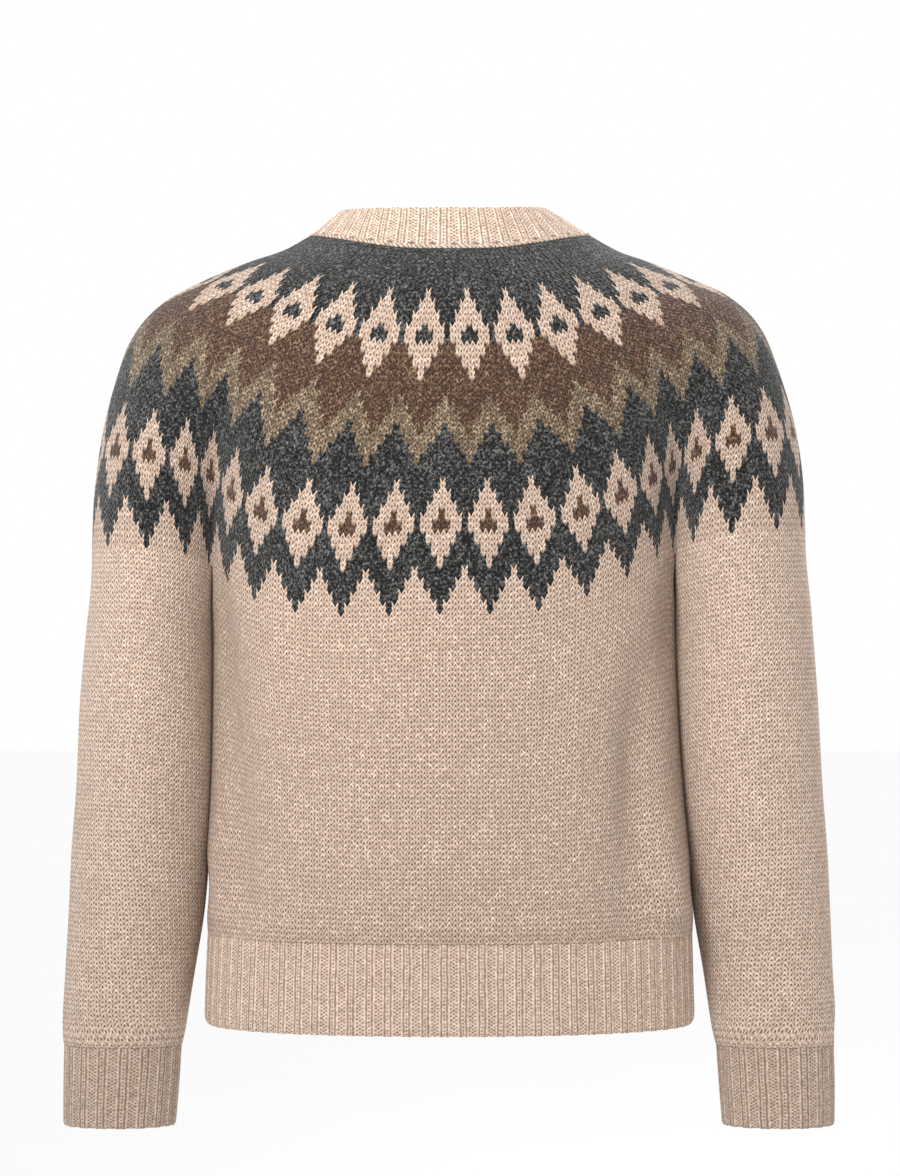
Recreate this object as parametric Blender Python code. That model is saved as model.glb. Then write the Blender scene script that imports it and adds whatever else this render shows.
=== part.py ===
"""Solids of a round-yoke knitted cardigan, filled out as if worn.

The back faces +Y and the front -Y. The wearer's left is +X. The origin is level with
the base of the neck, at its middle. All sizes are in metres.
"""

import math

import bmesh
import bpy
import numpy as np

# Knit counts. Columns of stitches are counted from centre back, positive to the left.
QUARTER = 84
CREASE = 48
ARM_HALF = QUARTER - CREASE
UNDERARM = 13
BODY_HALF = 2 * CREASE + UNDERARM
SIDE_SEAM = CREASE + UNDERARM / 2
SLEEVE_HALF = ARM_HALF + UNDERARM / 2
YOKE_ROWS = 68
RING_STEPS = 4

# Columns with corners, on the body from centre back and on an arm from its outer line
BODY_COLUMNS = (0, 8, 16, 24, 32, 38, 43, 46)
ARM_COLUMNS = (0, 6, 13, 20, 26, 31, 34)
EDGE_STEP = 2.5

# Cloth
CLOTH = 0.0025
BAND_CLOTH = 0.0022
SEAM_GAP = 0.0003
RIB_HEIGHT = 0.0011

# Front opening, as distances to the left of centre front
LEFT_EDGE = 0.0146
RIGHT_EDGE = -0.0126
UNDER_BAND = (-0.0116, 0.0136)
OVER_BAND = (-0.0160, 0.0140)
OVER_LIFT = RIB_HEIGHT + 2 * SEAM_GAP

# Ribs and their corner pattern: one low corner, then two raised ones
RIB_CORNERS = (0.0, 1.0, 1.0)
HEM_RIBS = 72
CUFF_RIBS = 18
NECK_RIBS = 34
BAND_RIBS = 3

# Buttons
BUTTON_COUNT = 7
BUTTON_RADIUS = 0.0100
BUTTON_THICKNESS = 0.0032
BUTTON_SIDES = 12
SHANK_RADIUS = 0.0009
SLIT_HALF_LENGTH = 0.0080
SLIT_HALF_WIDTH = 0.0016

# Looks: colour and roughness
CHARCOAL_KNIT = ((0.075, 0.080, 0.083), 0.95)
BEIGE_KNIT = ((0.640, 0.500, 0.410), 0.95)
HORN = ((0.110, 0.065, 0.040), 0.35)
SHARP_ANGLE = math.radians(50)

# Levels of the yoke, from the neck down. Depths are away from the middle plane.
YOKE_LEVELS = (
    # row, back z, back y, left x, left z, right x, right z, front z, front y, arm share
    (0.0, -0.0106, 0.0620, 0.0980, 0.0026, 0.0984, 0.0026, -0.0620, 0.0700, 0.00),
    (5.0, -0.0246, 0.0770, 0.1168, -0.0077, 0.1182, -0.0084, -0.0790, 0.0800, 0.00),
    (10.0, -0.0407, 0.0885, 0.1397, -0.0154, 0.1372, -0.0150, -0.0960, 0.0885, 0.00),
    (17.5, -0.0715, 0.0985, 0.1698, -0.0277, 0.1684, -0.0273, -0.1220, 0.0975, 0.00),
    (25.0, -0.1030, 0.1045, 0.1992, -0.0434, 0.1950, -0.0399, -0.1500, 0.1055, 0.03),
    (35.0, -0.1358, 0.1090, 0.2244, -0.0728, 0.2192, -0.0651, -0.1870, 0.1130, 0.16),
    (42.0, -0.1594, 0.1113, 0.2349, -0.1029, 0.2300, -0.0920, -0.2120, 0.1165, 0.38),
    (52.5, -0.1997, 0.1133, 0.2449, -0.1470, 0.2421, -0.1344, -0.2480, 0.1190, 0.74),
    (60.0, -0.2295, 0.1138, 0.2489, -0.1806, 0.2468, -0.1666, -0.2730, 0.1190, 0.92),
    (68.0, -0.2602, 0.1132, 0.2503, -0.2149, 0.2485, -0.2030, -0.2980, 0.1180, 1.00),
)

# Plan of the body and arm where the yoke ends, for each side
ARM_PLAN = {
    # half width of the body, of the arm, half depth of the arm
    "left": (0.1720, 0.0455, 0.0660),
    "right": (0.1620, 0.0490, 0.0660),
}

# Levels of the body below the yoke
BODY_LEVELS = (
    # z, left x, right x, back y, front y
    (-0.5000, 0.1692, 0.1692, 0.1050, 0.1065),
    (-0.4840, 0.1694, 0.1694, 0.1056, 0.1075),
    (-0.4740, 0.1698, 0.1698, 0.1088, 0.1098),
    (-0.4600, 0.1688, 0.1688, 0.1098, 0.1120),
    (-0.4200, 0.1670, 0.1642, 0.1096, 0.1140),
    (-0.3600, 0.1646, 0.1592, 0.1110, 0.1160),
    (-0.3000, 0.1638, 0.1562, 0.1126, 0.1175),
    (-0.2200, 0.1642, 0.1545, 0.1132, 0.1180),
)
RIB_TOP_Z = -0.4840
HEM_LEVELS = (
    # z, left x, right x, back y, front y
    (-0.5460, 0.1718, 0.1712, 0.1030, 0.1048),
    (-0.5150, 0.1708, 0.1702, 0.1040, 0.1058),
    (-0.4840, 0.1694, 0.1694, 0.1052, 0.1071),
)
HEM_Z = -0.5460

# Levels of the sleeves below the yoke: middle and half sizes of each round
SLEEVE_LEVELS = {
    "left": (
        # z, middle x, middle y, half width, half depth
        (-0.5660, 0.2298, -0.0120, 0.0424, 0.0310),
        (-0.5560, 0.2292, -0.0115, 0.0432, 0.0350),
        (-0.5110, 0.2243, -0.0080, 0.0455, 0.0410),
        (-0.4690, 0.2195, -0.0045, 0.0476, 0.0460),
        (-0.4270, 0.2166, -0.0015, 0.0483, 0.0505),
        (-0.3850, 0.2138, 0.0010, 0.0477, 0.0545),
        (-0.3220, 0.2118, 0.0020, 0.0468, 0.0590),
        (-0.2520, 0.2087, 0.0010, 0.0438, 0.0640),
        (-0.2100, 0.2075, 0.0000, 0.0430, 0.0660),
    ),
    "right": (
        # z, middle x, middle y, half width, half depth
        (-0.5660, 0.2284, -0.0120, 0.0424, 0.0310),
        (-0.5560, 0.2278, -0.0115, 0.0434, 0.0350),
        (-0.5110, 0.2230, -0.0080, 0.0455, 0.0410),
        (-0.4690, 0.2184, -0.0045, 0.0480, 0.0460),
        (-0.4270, 0.2152, -0.0015, 0.0489, 0.0505),
        (-0.3850, 0.2115, 0.0010, 0.0492, 0.0545),
        (-0.3220, 0.2076, 0.0020, 0.0496, 0.0590),
        (-0.2520, 0.2040, 0.0010, 0.0482, 0.0640),
        (-0.2000, 0.2025, 0.0000, 0.0470, 0.0660),
    ),
}
CUFF_TOP_Z = -0.5640
CUFF_Z = -0.6210
CUFF_LEVELS = (
    # z, middle x left, middle x right, middle y, half width, half depth
    (-0.6210, 0.2325, 0.2310, -0.0150, 0.0396, 0.0285),
    (-0.5920, 0.2311, 0.2298, -0.0136, 0.0408, 0.0288),
    (-0.5640, 0.2298, 0.2284, -0.0122, 0.0414, 0.0294),
)

# Upper edge of the neckband
NECK_TOP = {
    "back": (0.0186, 0.0500),
    "left": (0.0766, 0.0205),
    "right": (0.0680, 0.0222),
    "front": (-0.0390, 0.0560),
}

# Long soft troughs (negative) and rolls (positive) of the body
BODY_FOLDS = (
    # column and z at the top, column and z at the foot, half width in columns, height
    (43.0, -0.250, 37.0, -0.486, 3.5, -0.0050),
    (-39.0, -0.262, -31.0, -0.482, 4.0, -0.0080),
    (-42.5, -0.380, -38.5, -0.478, 3.5, 0.0050),
    (46.0, -0.400, 43.5, -0.478, 3.0, 0.0035),
    (67.0, -0.270, 72.0, -0.486, 4.0, -0.0060),
    (-68.0, -0.265, -74.0, -0.484, 4.0, -0.0065),
    (88.0, -0.320, 84.0, -0.480, 5.0, -0.0035),
    (-90.0, -0.330, -85.0, -0.480, 5.0, -0.0035),
)


def read_levels(table, key):
    """Smoothly read every column of a table at the given heights or rows."""
    rows = np.array(sorted(table), dtype=float)
    keys = rows[:, 0]
    slopes = np.gradient(rows, keys, axis=0)
    key = np.clip(np.asarray(key, dtype=float), keys[0], keys[-1])
    index = np.clip(np.searchsorted(keys, key, side="right") - 1, 0, len(keys) - 2)
    span = (keys[index + 1] - keys[index])[..., None]
    share = (key - keys[index])[..., None] / span
    rest = 1.0 - share
    ends = rows[index] * (1 + 2 * share) * rest ** 2 + rows[index + 1] * (3 - 2 * share) * share ** 2
    lean = slopes[index] * share * rest ** 2 - slopes[index + 1] * rest * share ** 2
    return np.moveaxis(ends + span * lean, -1, 0)


def ease(start, end, value):
    """A smooth step from 0 at start to 1 at end."""
    share = np.clip((np.asarray(value, dtype=float) - start) / (end - start), 0.0, 1.0)
    return share * share * (3.0 - 2.0 * share)


def evenly(path, count):
    """A path in plan again, with count points at equal distances."""
    steps = np.hypot(*np.diff(path, axis=0).T)
    length = np.concatenate(([0.0], np.cumsum(steps)))
    at = np.linspace(0.0, length[-1], count)
    return np.column_stack([np.interp(at, length, path[:, axis]) for axis in (0, 1)])


def quarter_oval(width, depth):
    """A quarter of an oval, from the middle plane round to the side."""
    angle = np.linspace(0.0, math.pi / 2, 200)
    path = np.column_stack((width * np.sin(angle), depth * np.cos(angle)))
    return evenly(path, QUARTER * RING_STEPS + 1)


def quarter_body_and_arm(side_x, depth, plan):
    """A quarter round the body as far as the armpit crease, then round the arm."""
    body_width, arm_width, arm_depth = plan
    arm_x = side_x - arm_width
    angle = np.linspace(0.0, math.pi / 2, 400)
    body = np.column_stack((body_width * np.sin(angle), depth * np.cos(angle)))
    inside = ((body[:, 0] - arm_x) / arm_width) ** 2 + (body[:, 1] / arm_depth) ** 2 < 1.0
    body = body[:np.argmax(inside) + 1]
    start = math.atan2(body[-1, 1] / arm_depth, (body[-1, 0] - arm_x) / arm_width)
    angle = np.linspace(start, 0.0, 400)
    arm = np.column_stack((arm_x + arm_width * np.cos(angle), arm_depth * np.sin(angle)))
    body = evenly(body, CREASE * RING_STEPS + 1)
    arm = evenly(arm, ARM_HALF * RING_STEPS + 1)
    return np.vstack((body, arm[1:]))


def soften(loop, columns):
    """A closed loop in plan with its corners rounded over some columns."""
    steps = np.fft.fftfreq(len(loop)) * 2 * math.pi * columns * RING_STEPS
    wave = np.fft.fft(loop[:, 0] + 1j * loop[:, 1]) * np.exp(-0.5 * steps ** 2)
    loop = np.fft.ifft(wave)
    return np.column_stack((loop.real, loop.imag))


def yoke_ring(row):
    """The columns of one round of the yoke, and their points."""
    level = read_levels(YOKE_LEVELS, row)
    _, back_z, back_y, left_x, left_z, right_x, right_z, front_z, front_y, arm = level
    quarters = []
    heights = []
    share = np.linspace(0.0, 1.0, QUARTER * RING_STEPS + 1)
    rise = ease(0.12, 1.0 - 0.18 * arm, share)
    for side, side_x, side_z in (("left", left_x, left_z), ("right", right_x, right_z)):
        for depth, middle_z in ((back_y, back_z), (front_y, front_z)):
            oval = quarter_oval(side_x, depth)
            worn = quarter_body_and_arm(side_x, depth, ARM_PLAN[side])
            quarters.append(oval * (1 - arm) + worn * arm)
            heights.append(middle_z + (side_z - middle_z) * rise)
    back_left, front_left, back_right, front_right = quarters
    plan = np.vstack((
        back_left[:-1],
        (front_left * (1, -1))[:0:-1],
        (front_right * (-1, -1))[:-1],
        (back_right * (-1, 1))[:0:-1],
    ))
    height = np.concatenate((
        heights[0][:-1], heights[1][:0:-1], heights[3][:-1], heights[2][:0:-1],
    ))
    plan = soften(plan, 1.3)
    half = 2 * QUARTER * RING_STEPS
    order = np.arange(-half, half + 1) % (2 * half)
    columns = np.arange(-half, half + 1) / RING_STEPS
    return columns, np.column_stack((plan[order], height[order]))


def read_ring(columns, points, at):
    """Points of a ring at the given columns."""
    return np.column_stack([np.interp(at, columns, points[:, axis]) for axis in range(3)])


def yoke_points(rows, columns):
    """Grid of yoke points: rounds down, columns across."""
    grid = []
    for row in rows:
        grid.append(read_ring(*yoke_ring(row), columns))
    return np.array(grid)


def edge_column(points_at, level, edge, half):
    """Column at which a round meets a front edge."""
    columns = np.sign(edge) * np.linspace(half - 10, half, 41)
    points = points_at((level,), columns)[0]
    order = np.argsort(points[:, 0])
    return np.interp(edge, points[order, 0], columns[order])


def edged_grid(points_at, levels, columns, half, edges=(True, True)):
    """Grid of points whose first and last columns follow the front edges."""
    grid = []
    for level in levels:
        line = np.array(columns, dtype=float)
        if edges[0]:
            line[0] = edge_column(points_at, level, RIGHT_EDGE, half)
            line[1] = max(line[1], line[0] + EDGE_STEP)
        if edges[1]:
            line[-1] = edge_column(points_at, level, LEFT_EDGE, half)
            line[-2] = min(line[-2], line[-1] - EDGE_STEP)
        grid.append(points_at((level,), line)[0])
    return np.array(grid)


def body_top(columns):
    """Points of the body's top round: two yoke arcs joined under the arms."""
    ring_columns, ring = yoke_ring(YOKE_ROWS)
    side = np.sign(columns)
    away = np.abs(columns)
    over = side * np.where(away <= CREASE, away, away + 2 * ARM_HALF - UNDERARM)
    points = read_ring(ring_columns, ring, over)
    under = (away > CREASE) & (away < CREASE + UNDERARM)
    for index in np.flatnonzero(under):
        share = (away[index] - CREASE) / UNDERARM
        ends = read_ring(ring_columns, ring, side[index] * np.array((CREASE, 2 * QUARTER - CREASE)))
        points[index] = ends[0] * (1 - share) + ends[1] * share
    return points


def unit_body_ring(columns):
    """Direction of each body column on an oval of unit size."""
    angle = np.linspace(0.0, math.pi, 800)
    sine = np.sin(angle) ** 0.92
    cosine = np.sign(np.cos(angle)) * np.abs(np.cos(angle)) ** 0.92
    path = evenly(np.column_stack((0.166 * sine, 0.112 * cosine)), 4 * BODY_HALF + 1)
    at = np.arange(4 * BODY_HALF + 1) / 4
    x = np.interp(np.abs(columns), at, path[:, 0] / 0.166)
    y = np.interp(np.abs(columns), at, path[:, 1] / 0.112)
    return np.sign(columns) * x, y


def oval_points(table, direction, z):
    """Points at height z on the ovals of a body or hem table."""
    along_x, along_y = direction
    _, left, right, back, front = read_levels(table, z)
    x = along_x * np.where(along_x > 0, left, right)
    y = along_y * np.where(along_y > 0, back, front)
    return x, y


def fold_height(columns, z):
    """Height of the body's troughs and rolls at each point."""
    height = np.zeros_like(z)
    for top, top_z, foot, foot_z, width, rise in BODY_FOLDS:
        share = (z - top_z) / (foot_z - top_z)
        middle = top + (foot - top) * share
        across = np.exp(-0.5 * ((columns - middle) / width) ** 2)
        along = ease(-0.05, 0.45, share) * (1.0 - ease(0.88, 1.0, share))
        height += rise * across * along
    return height


def body_points(depths, columns):
    """Grid of body points: depth 0 is the yoke's edge and 1 the top of the hem rib."""
    columns = np.asarray(columns, dtype=float)
    top = body_top(columns)
    direction = unit_body_ring(columns)
    grid = []
    for depth in depths:
        z = top[:, 2] * (1 - depth) + RIB_TOP_Z * depth
        x, y = oval_points(BODY_LEVELS, direction, z)
        lift = fold_height(columns, z)
        length = np.hypot(direction[0] / 0.166, direction[1] / 0.112)
        x = x + lift * direction[0] / 0.166 / length
        y = y + lift * direction[1] / 0.112 / length
        free = ease(0.0, 0.22, depth)
        plan_x = top[:, 0] * (1 - free) + x * free
        plan_y = top[:, 1] * (1 - free) + y * free
        grid.append(np.column_stack((plan_x, plan_y, z)))
    return np.array(grid)


def hem_points(depths, columns):
    """Grid of hem-rib points: depth 0 is the top of the rib and 1 its edge."""
    columns = np.asarray(columns, dtype=float)
    direction = unit_body_ring(columns)
    grid = []
    for depth in depths:
        z = np.full(len(columns), RIB_TOP_Z + (HEM_Z - RIB_TOP_Z) * depth)
        x, y = oval_points(HEM_LEVELS, direction, z)
        grid.append(np.column_stack((x, y, z)))
    return np.array(grid)


def unit_sleeve_ring(columns):
    """Direction of each sleeve column: 0 is the outer line, positive to the front."""
    angle = np.linspace(0.0, math.pi, 400)
    path = evenly(np.column_stack((0.047 * np.cos(angle), 0.054 * np.sin(angle))), 341)
    at = np.linspace(0.0, SLEEVE_HALF, 341)
    x = np.interp(np.abs(columns), at, path[:, 0] / 0.047)
    y = np.interp(np.abs(columns), at, path[:, 1] / 0.054)
    return x, -np.sign(columns) * y


def sleeve_top(side, columns):
    """Points of a sleeve's top round: the yoke's arm arc, joined under the arm."""
    sign = 1 if side == "left" else -1
    ring_columns, ring = yoke_ring(YOKE_ROWS)
    arc = np.clip(columns, -ARM_HALF, ARM_HALF)
    points = read_ring(ring_columns, ring, sign * (QUARTER + arc))
    back, front = read_ring(ring_columns, ring, sign * np.array((CREASE, 2 * QUARTER - CREASE)))
    middle = (back + front) / 2
    beyond = np.maximum(np.abs(columns) - ARM_HALF, 0.0) / (SLEEVE_HALF - ARM_HALF)
    return points * (1 - beyond[:, None]) + middle * beyond[:, None]


def sleeve_points(side, depths, columns):
    """Grid of sleeve points: depth 0 is the yoke's edge and 1 the top of the cuff."""
    sign = 1 if side == "left" else -1
    columns = np.asarray(columns, dtype=float)
    top = sleeve_top(side, columns)
    along_x, along_y = unit_sleeve_ring(columns)
    grid = []
    for depth in depths:
        z = top[:, 2] * (1 - depth) + CUFF_TOP_Z * depth
        _, middle_x, middle_y, width, breadth = read_levels(SLEEVE_LEVELS[side], z)
        x = sign * (middle_x + width * along_x)
        y = middle_y + breadth * along_y
        free = ease(0.0, 0.16, depth)
        plan_x = top[:, 0] * (1 - free) + x * free
        plan_y = top[:, 1] * (1 - free) + y * free
        grid.append(np.column_stack((plan_x, plan_y, z)))
    return np.array(grid)


def cuff_points(side, depths, columns):
    """Grid of cuff points: depth 0 is the sleeve's foot and 1 the wrist edge."""
    sign = 1 if side == "left" else -1
    along_x, along_y = unit_sleeve_ring(np.asarray(columns, dtype=float))
    grid = []
    for depth in depths:
        z = np.full(len(columns), CUFF_TOP_Z + (CUFF_Z - CUFF_TOP_Z) * depth)
        _, left_x, right_x, middle_y, width, breadth = read_levels(CUFF_LEVELS, z)
        middle_x = left_x if side == "left" else right_x
        x = sign * (middle_x + width * along_x)
        y = middle_y + breadth * along_y
        grid.append(np.column_stack((x, y, z)))
    return np.array(grid)


def neck_points(depths, columns):
    """Grid of neckband points: depth 0 is its upper edge and 1 the yoke."""
    ring_columns, ring = yoke_ring(0.0)
    foot = read_ring(ring_columns, ring, columns)
    away = np.abs(columns) / QUARTER
    angle = np.where(away < 1, away, 2 - away)
    left = columns > 0
    side_x = np.where(left, NECK_TOP["left"][0], NECK_TOP["right"][0])
    side_z = np.where(left, NECK_TOP["left"][1], NECK_TOP["right"][1])
    back = away < 1
    middle_z = np.where(back, NECK_TOP["back"][0], NECK_TOP["front"][0])
    middle_y = np.where(back, NECK_TOP["back"][1], -NECK_TOP["front"][1])
    x = np.sign(columns) * side_x * np.sin(angle * math.pi / 2)
    y = middle_y * np.cos(angle * math.pi / 2)
    z = middle_z + (side_z - middle_z) * ease(0.1, 1.0, angle)
    top = np.column_stack((x, y, z))
    grid = [top * (1 - depth) + foot * depth for depth in depths]
    return np.array(grid)


def grid_normals(grid, closed):
    """Outward direction at each grid point."""
    if closed:
        across = np.roll(grid, -1, axis=1) - np.roll(grid, 1, axis=1)
    else:
        across = np.gradient(grid, axis=1)
    down = np.gradient(grid, axis=0)
    normals = np.cross(across, down)
    return normals / np.linalg.norm(normals, axis=2, keepdims=True)


def make_material(name, look):
    """A plain material of one colour."""
    colour, roughness = look
    material = bpy.data.materials.new(name)
    material.use_nodes = True
    shader = material.node_tree.nodes["Principled BSDF"]
    shader.inputs["Base Color"].default_value = (*colour, 1.0)
    shader.inputs["Roughness"].default_value = roughness
    shader.inputs["Metallic"].default_value = 0.0
    return material


def add_object(name, mesh_builder, look):
    """A named object from a finished bmesh, smooth but for its rims."""
    mesh = bpy.data.meshes.new(name)
    mesh_builder.to_mesh(mesh)
    mesh_builder.free()
    mesh.shade_smooth()
    mesh.set_sharp_from_angle(angle=SHARP_ANGLE)
    mesh.materials.append(make_material(name + "_material", look))
    part = bpy.data.objects.new(name, mesh)
    bpy.context.collection.objects.link(part)
    return part


def add_wall(name, outer, inner, closed, look, gaps=()):
    """A closed wall between two grids. Cells named in gaps are left open."""
    builder = bmesh.new()
    rows, columns = outer.shape[:2]
    cells = columns if closed else columns - 1
    kept = {(row, cell) for row in range(rows - 1) for cell in range(cells)} - set(gaps)
    corners = {}

    def corner(side, row, column):
        column %= columns
        if (side, row, column) not in corners:
            grid = outer if side == 0 else inner
            corners[side, row, column] = builder.verts.new(grid[row, column])
        return corners[side, row, column]

    def is_kept(row, cell):
        return (row, cell % columns if closed else cell) in kept

    for row, cell in sorted(kept):
        ring = ((row, cell), (row + 1, cell), (row + 1, cell + 1), (row, cell + 1))
        builder.faces.new([corner(0, *place) for place in ring])
        builder.faces.new([corner(1, *place) for place in reversed(ring)])
        sides = (
            ((row, cell - 1), ring[0], ring[1]),
            ((row + 1, cell), ring[1], ring[2]),
            ((row, cell + 1), ring[2], ring[3]),
            ((row - 1, cell), ring[3], ring[0]),
        )
        for neighbour, start, end in sides:
            if not is_kept(*neighbour):
                builder.faces.new((
                    corner(0, *end), corner(0, *start), corner(1, *start), corner(1, *end),
                ))
    bmesh.ops.recalc_face_normals(builder, faces=builder.faces)
    return add_object(name, builder, look)


def add_cloth(name, grid, closed, look=BEIGE_KNIT, thickness=CLOTH, lift=0.0, raised=None,
              gaps=(), level_row=None):
    """A cloth wall whose outer face is the grid, with ribs raised on it.

    The wall of the level row stands upright, so that two pieces meet edge to edge there.
    """
    normals = grid_normals(grid, closed)
    if level_row is not None:
        normals[level_row, :, 2] = 0.0
        normals[level_row] /= np.linalg.norm(normals[level_row], axis=1, keepdims=True)
    outer = grid + normals * lift
    inner = outer - normals * thickness
    if raised is not None:
        outer = outer + normals * (np.asarray(raised) * RIB_HEIGHT)[None, :, None]
    return add_wall(name, outer, inner, closed, look, gaps)


def rib_heights(corner_count, closed):
    """Rib corners along an edge, low at both ends of an open one."""
    heights = np.array([RIB_CORNERS[index % 3] for index in range(corner_count)])
    if not closed:
        heights[0] = 0.0
        heights[-1] = 0.0
    return heights


def mirrored(quarter):
    """Columns from a list on the left, with the same ones on the right."""
    return [-column for column in reversed(quarter) if column > 0] + list(quarter)


def add_yoke():
    """The yoke, open at centre front."""
    quarter = BODY_COLUMNS + (CREASE,) + tuple(QUARTER - column for column in reversed(ARM_COLUMNS))
    half = quarter + tuple(2 * QUARTER - column for column in reversed(quarter[:-1]))
    rows = [0.08, 5, 10, 15, 20, 25, 30.5, 36, 42, 48, 54, 61, YOKE_ROWS - 0.12]
    grid = edged_grid(yoke_points, rows, mirrored(half), 2 * QUARTER)
    add_cloth("yoke", grid, False, CHARCOAL_KNIT, level_row=-1)


def add_body():
    """The back and both fronts."""
    depths = [0.0022, 0.06, 0.13, 0.22, 0.36, 0.52, 0.68, 0.82, 0.92, 0.96, 0.999]
    seam = SIDE_SEAM - 0.05
    half_back = BODY_COLUMNS + (CREASE - 0.4, 50.5, seam)
    add_cloth("back", body_points(depths, mirrored(half_back)), False, level_row=0)
    half_front = [BODY_HALF - column for column in reversed(half_back)]
    half_front[0] = SIDE_SEAM + 0.05
    half_front[-1] = BODY_HALF
    left = edged_grid(body_points, depths, half_front, BODY_HALF, (False, True))
    add_cloth("front_left", left, False, level_row=0)
    right_columns = [-column for column in reversed(half_front)]
    right = edged_grid(body_points, depths, right_columns, BODY_HALF, (True, False))
    add_cloth("front_right", right, False, level_row=0)


def add_hem():
    """The hem rib, open at centre front."""
    columns = np.linspace(-BODY_HALF + 3.5, BODY_HALF - 3.5, 3 * HEM_RIBS + 1)
    grid = edged_grid(hem_points, (0.005, 1.0), columns, BODY_HALF)
    add_cloth("hem_rib", grid, False, raised=rib_heights(len(columns), False))


def sleeve_columns(side, count):
    """Columns round a sleeve, in the order that turns its wall outward."""
    columns = np.linspace(-SLEEVE_HALF, SLEEVE_HALF, count + 1)[:-1]
    return columns if side == "left" else -columns


def add_sleeve(side):
    """One sleeve, from the yoke to the cuff."""
    half = ARM_COLUMNS + (ARM_HALF - 0.4, 38.5, SLEEVE_HALF)
    columns = np.array(mirrored(half)[:-1])
    if side == "right":
        columns = -columns
    depths = [0.0015, 0.05, 0.1, 0.16, 0.3, 0.45, 0.6, 0.75, 0.88, 0.95, 0.999]
    add_cloth("sleeve_" + side, sleeve_points(side, depths, columns), True, level_row=0)


def add_cuff(side):
    """One ribbed cuff."""
    columns = sleeve_columns(side, 3 * CUFF_RIBS)
    grid = cuff_points(side, (0.006, 1.0), columns)
    add_cloth("cuff_" + side, grid, True, raised=rib_heights(len(columns), True))


def add_neckband():
    """The neckband, open at centre front."""
    columns = np.linspace(-2 * QUARTER + 11, 2 * QUARTER - 11, 3 * NECK_RIBS + 1)
    grid = edged_grid(neck_points, (0.0, 0.98), columns, 2 * QUARTER)
    add_cloth("neckband", grid, False, raised=rib_heights(len(columns), False))


def front_round(place):
    """Points across centre front at a place: 0 neckband, 1 yoke, 2 body, 3 hem, 4 end."""
    if place < 1:
        columns = np.concatenate((np.linspace(-168, -140, 29), np.linspace(140, 168, 29)))
        points = neck_points((place,), columns)[0]
    elif place < 2:
        columns = np.concatenate((np.linspace(-168, -140, 29), np.linspace(140, 168, 29)))
        points = yoke_points(((place - 1) * YOKE_ROWS,), columns)[0]
    else:
        half = np.linspace(BODY_HALF - 20, BODY_HALF, 29)
        columns = np.concatenate((-half, half))
        points_at = body_points if place < 3 else hem_points
        points = points_at((place - int(min(place, 3)),), columns)[0]
    return points[np.argsort(points[:, 0])]


def band_line():
    """Centre-front points down the whole opening, with the length along them."""
    places = np.linspace(0.0, 4.0, 161)
    line = []
    for place in places:
        points = front_round(place)
        line.append([np.interp(0.0, points[:, 0], points[:, axis]) for axis in (1, 2)])
    steps = np.hypot(*np.diff(np.array(line), axis=0).T)
    return places, np.concatenate(([0.0], np.cumsum(steps)))


def band_grid(lengths, across):
    """Grid of points on the fronts along the opening."""
    places, length = band_line()
    grid = []
    for at in lengths:
        points = front_round(np.interp(at, length, places))
        grid.append([[x, *(np.interp(x, points[:, 0], points[:, axis]) for axis in (1, 2))]
                     for x in across])
    return np.array(grid)


def button_lengths():
    """Distances of the buttons down the opening."""
    total = band_line()[1][-1]
    return np.linspace(0.016, total - 0.034, BUTTON_COUNT)


def band_across(edges):
    """Positions across a band at its rib corners, from left to right."""
    return np.linspace(edges[1], edges[0], 3 * BAND_RIBS + 1)


def add_bands():
    """The button band underneath and the buttonhole band over it."""
    lengths = [0.0]
    gaps = []
    for at in button_lengths():
        lengths += [at - SLIT_HALF_LENGTH, at + SLIT_HALF_LENGTH, at + 0.028, at + 0.049]
        gaps.append((len(lengths) - 4, 4))
    lengths = lengths[:-1] + [band_line()[1][-1]]
    raised = rib_heights(3 * BAND_RIBS + 1, False)
    under = band_grid(lengths, band_across(UNDER_BAND))
    add_cloth("button_band", under, False, thickness=BAND_CLOTH, raised=raised)
    across = band_across(OVER_BAND)
    middle = sum(OVER_BAND) / 2
    across[4] = middle + SLIT_HALF_WIDTH
    across[5] = middle - SLIT_HALF_WIDTH
    over = band_grid(lengths, across)
    add_cloth("buttonhole_band", over, False, thickness=BAND_CLOTH,
              lift=OVER_LIFT + BAND_CLOTH, raised=raised, gaps=gaps)


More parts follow.
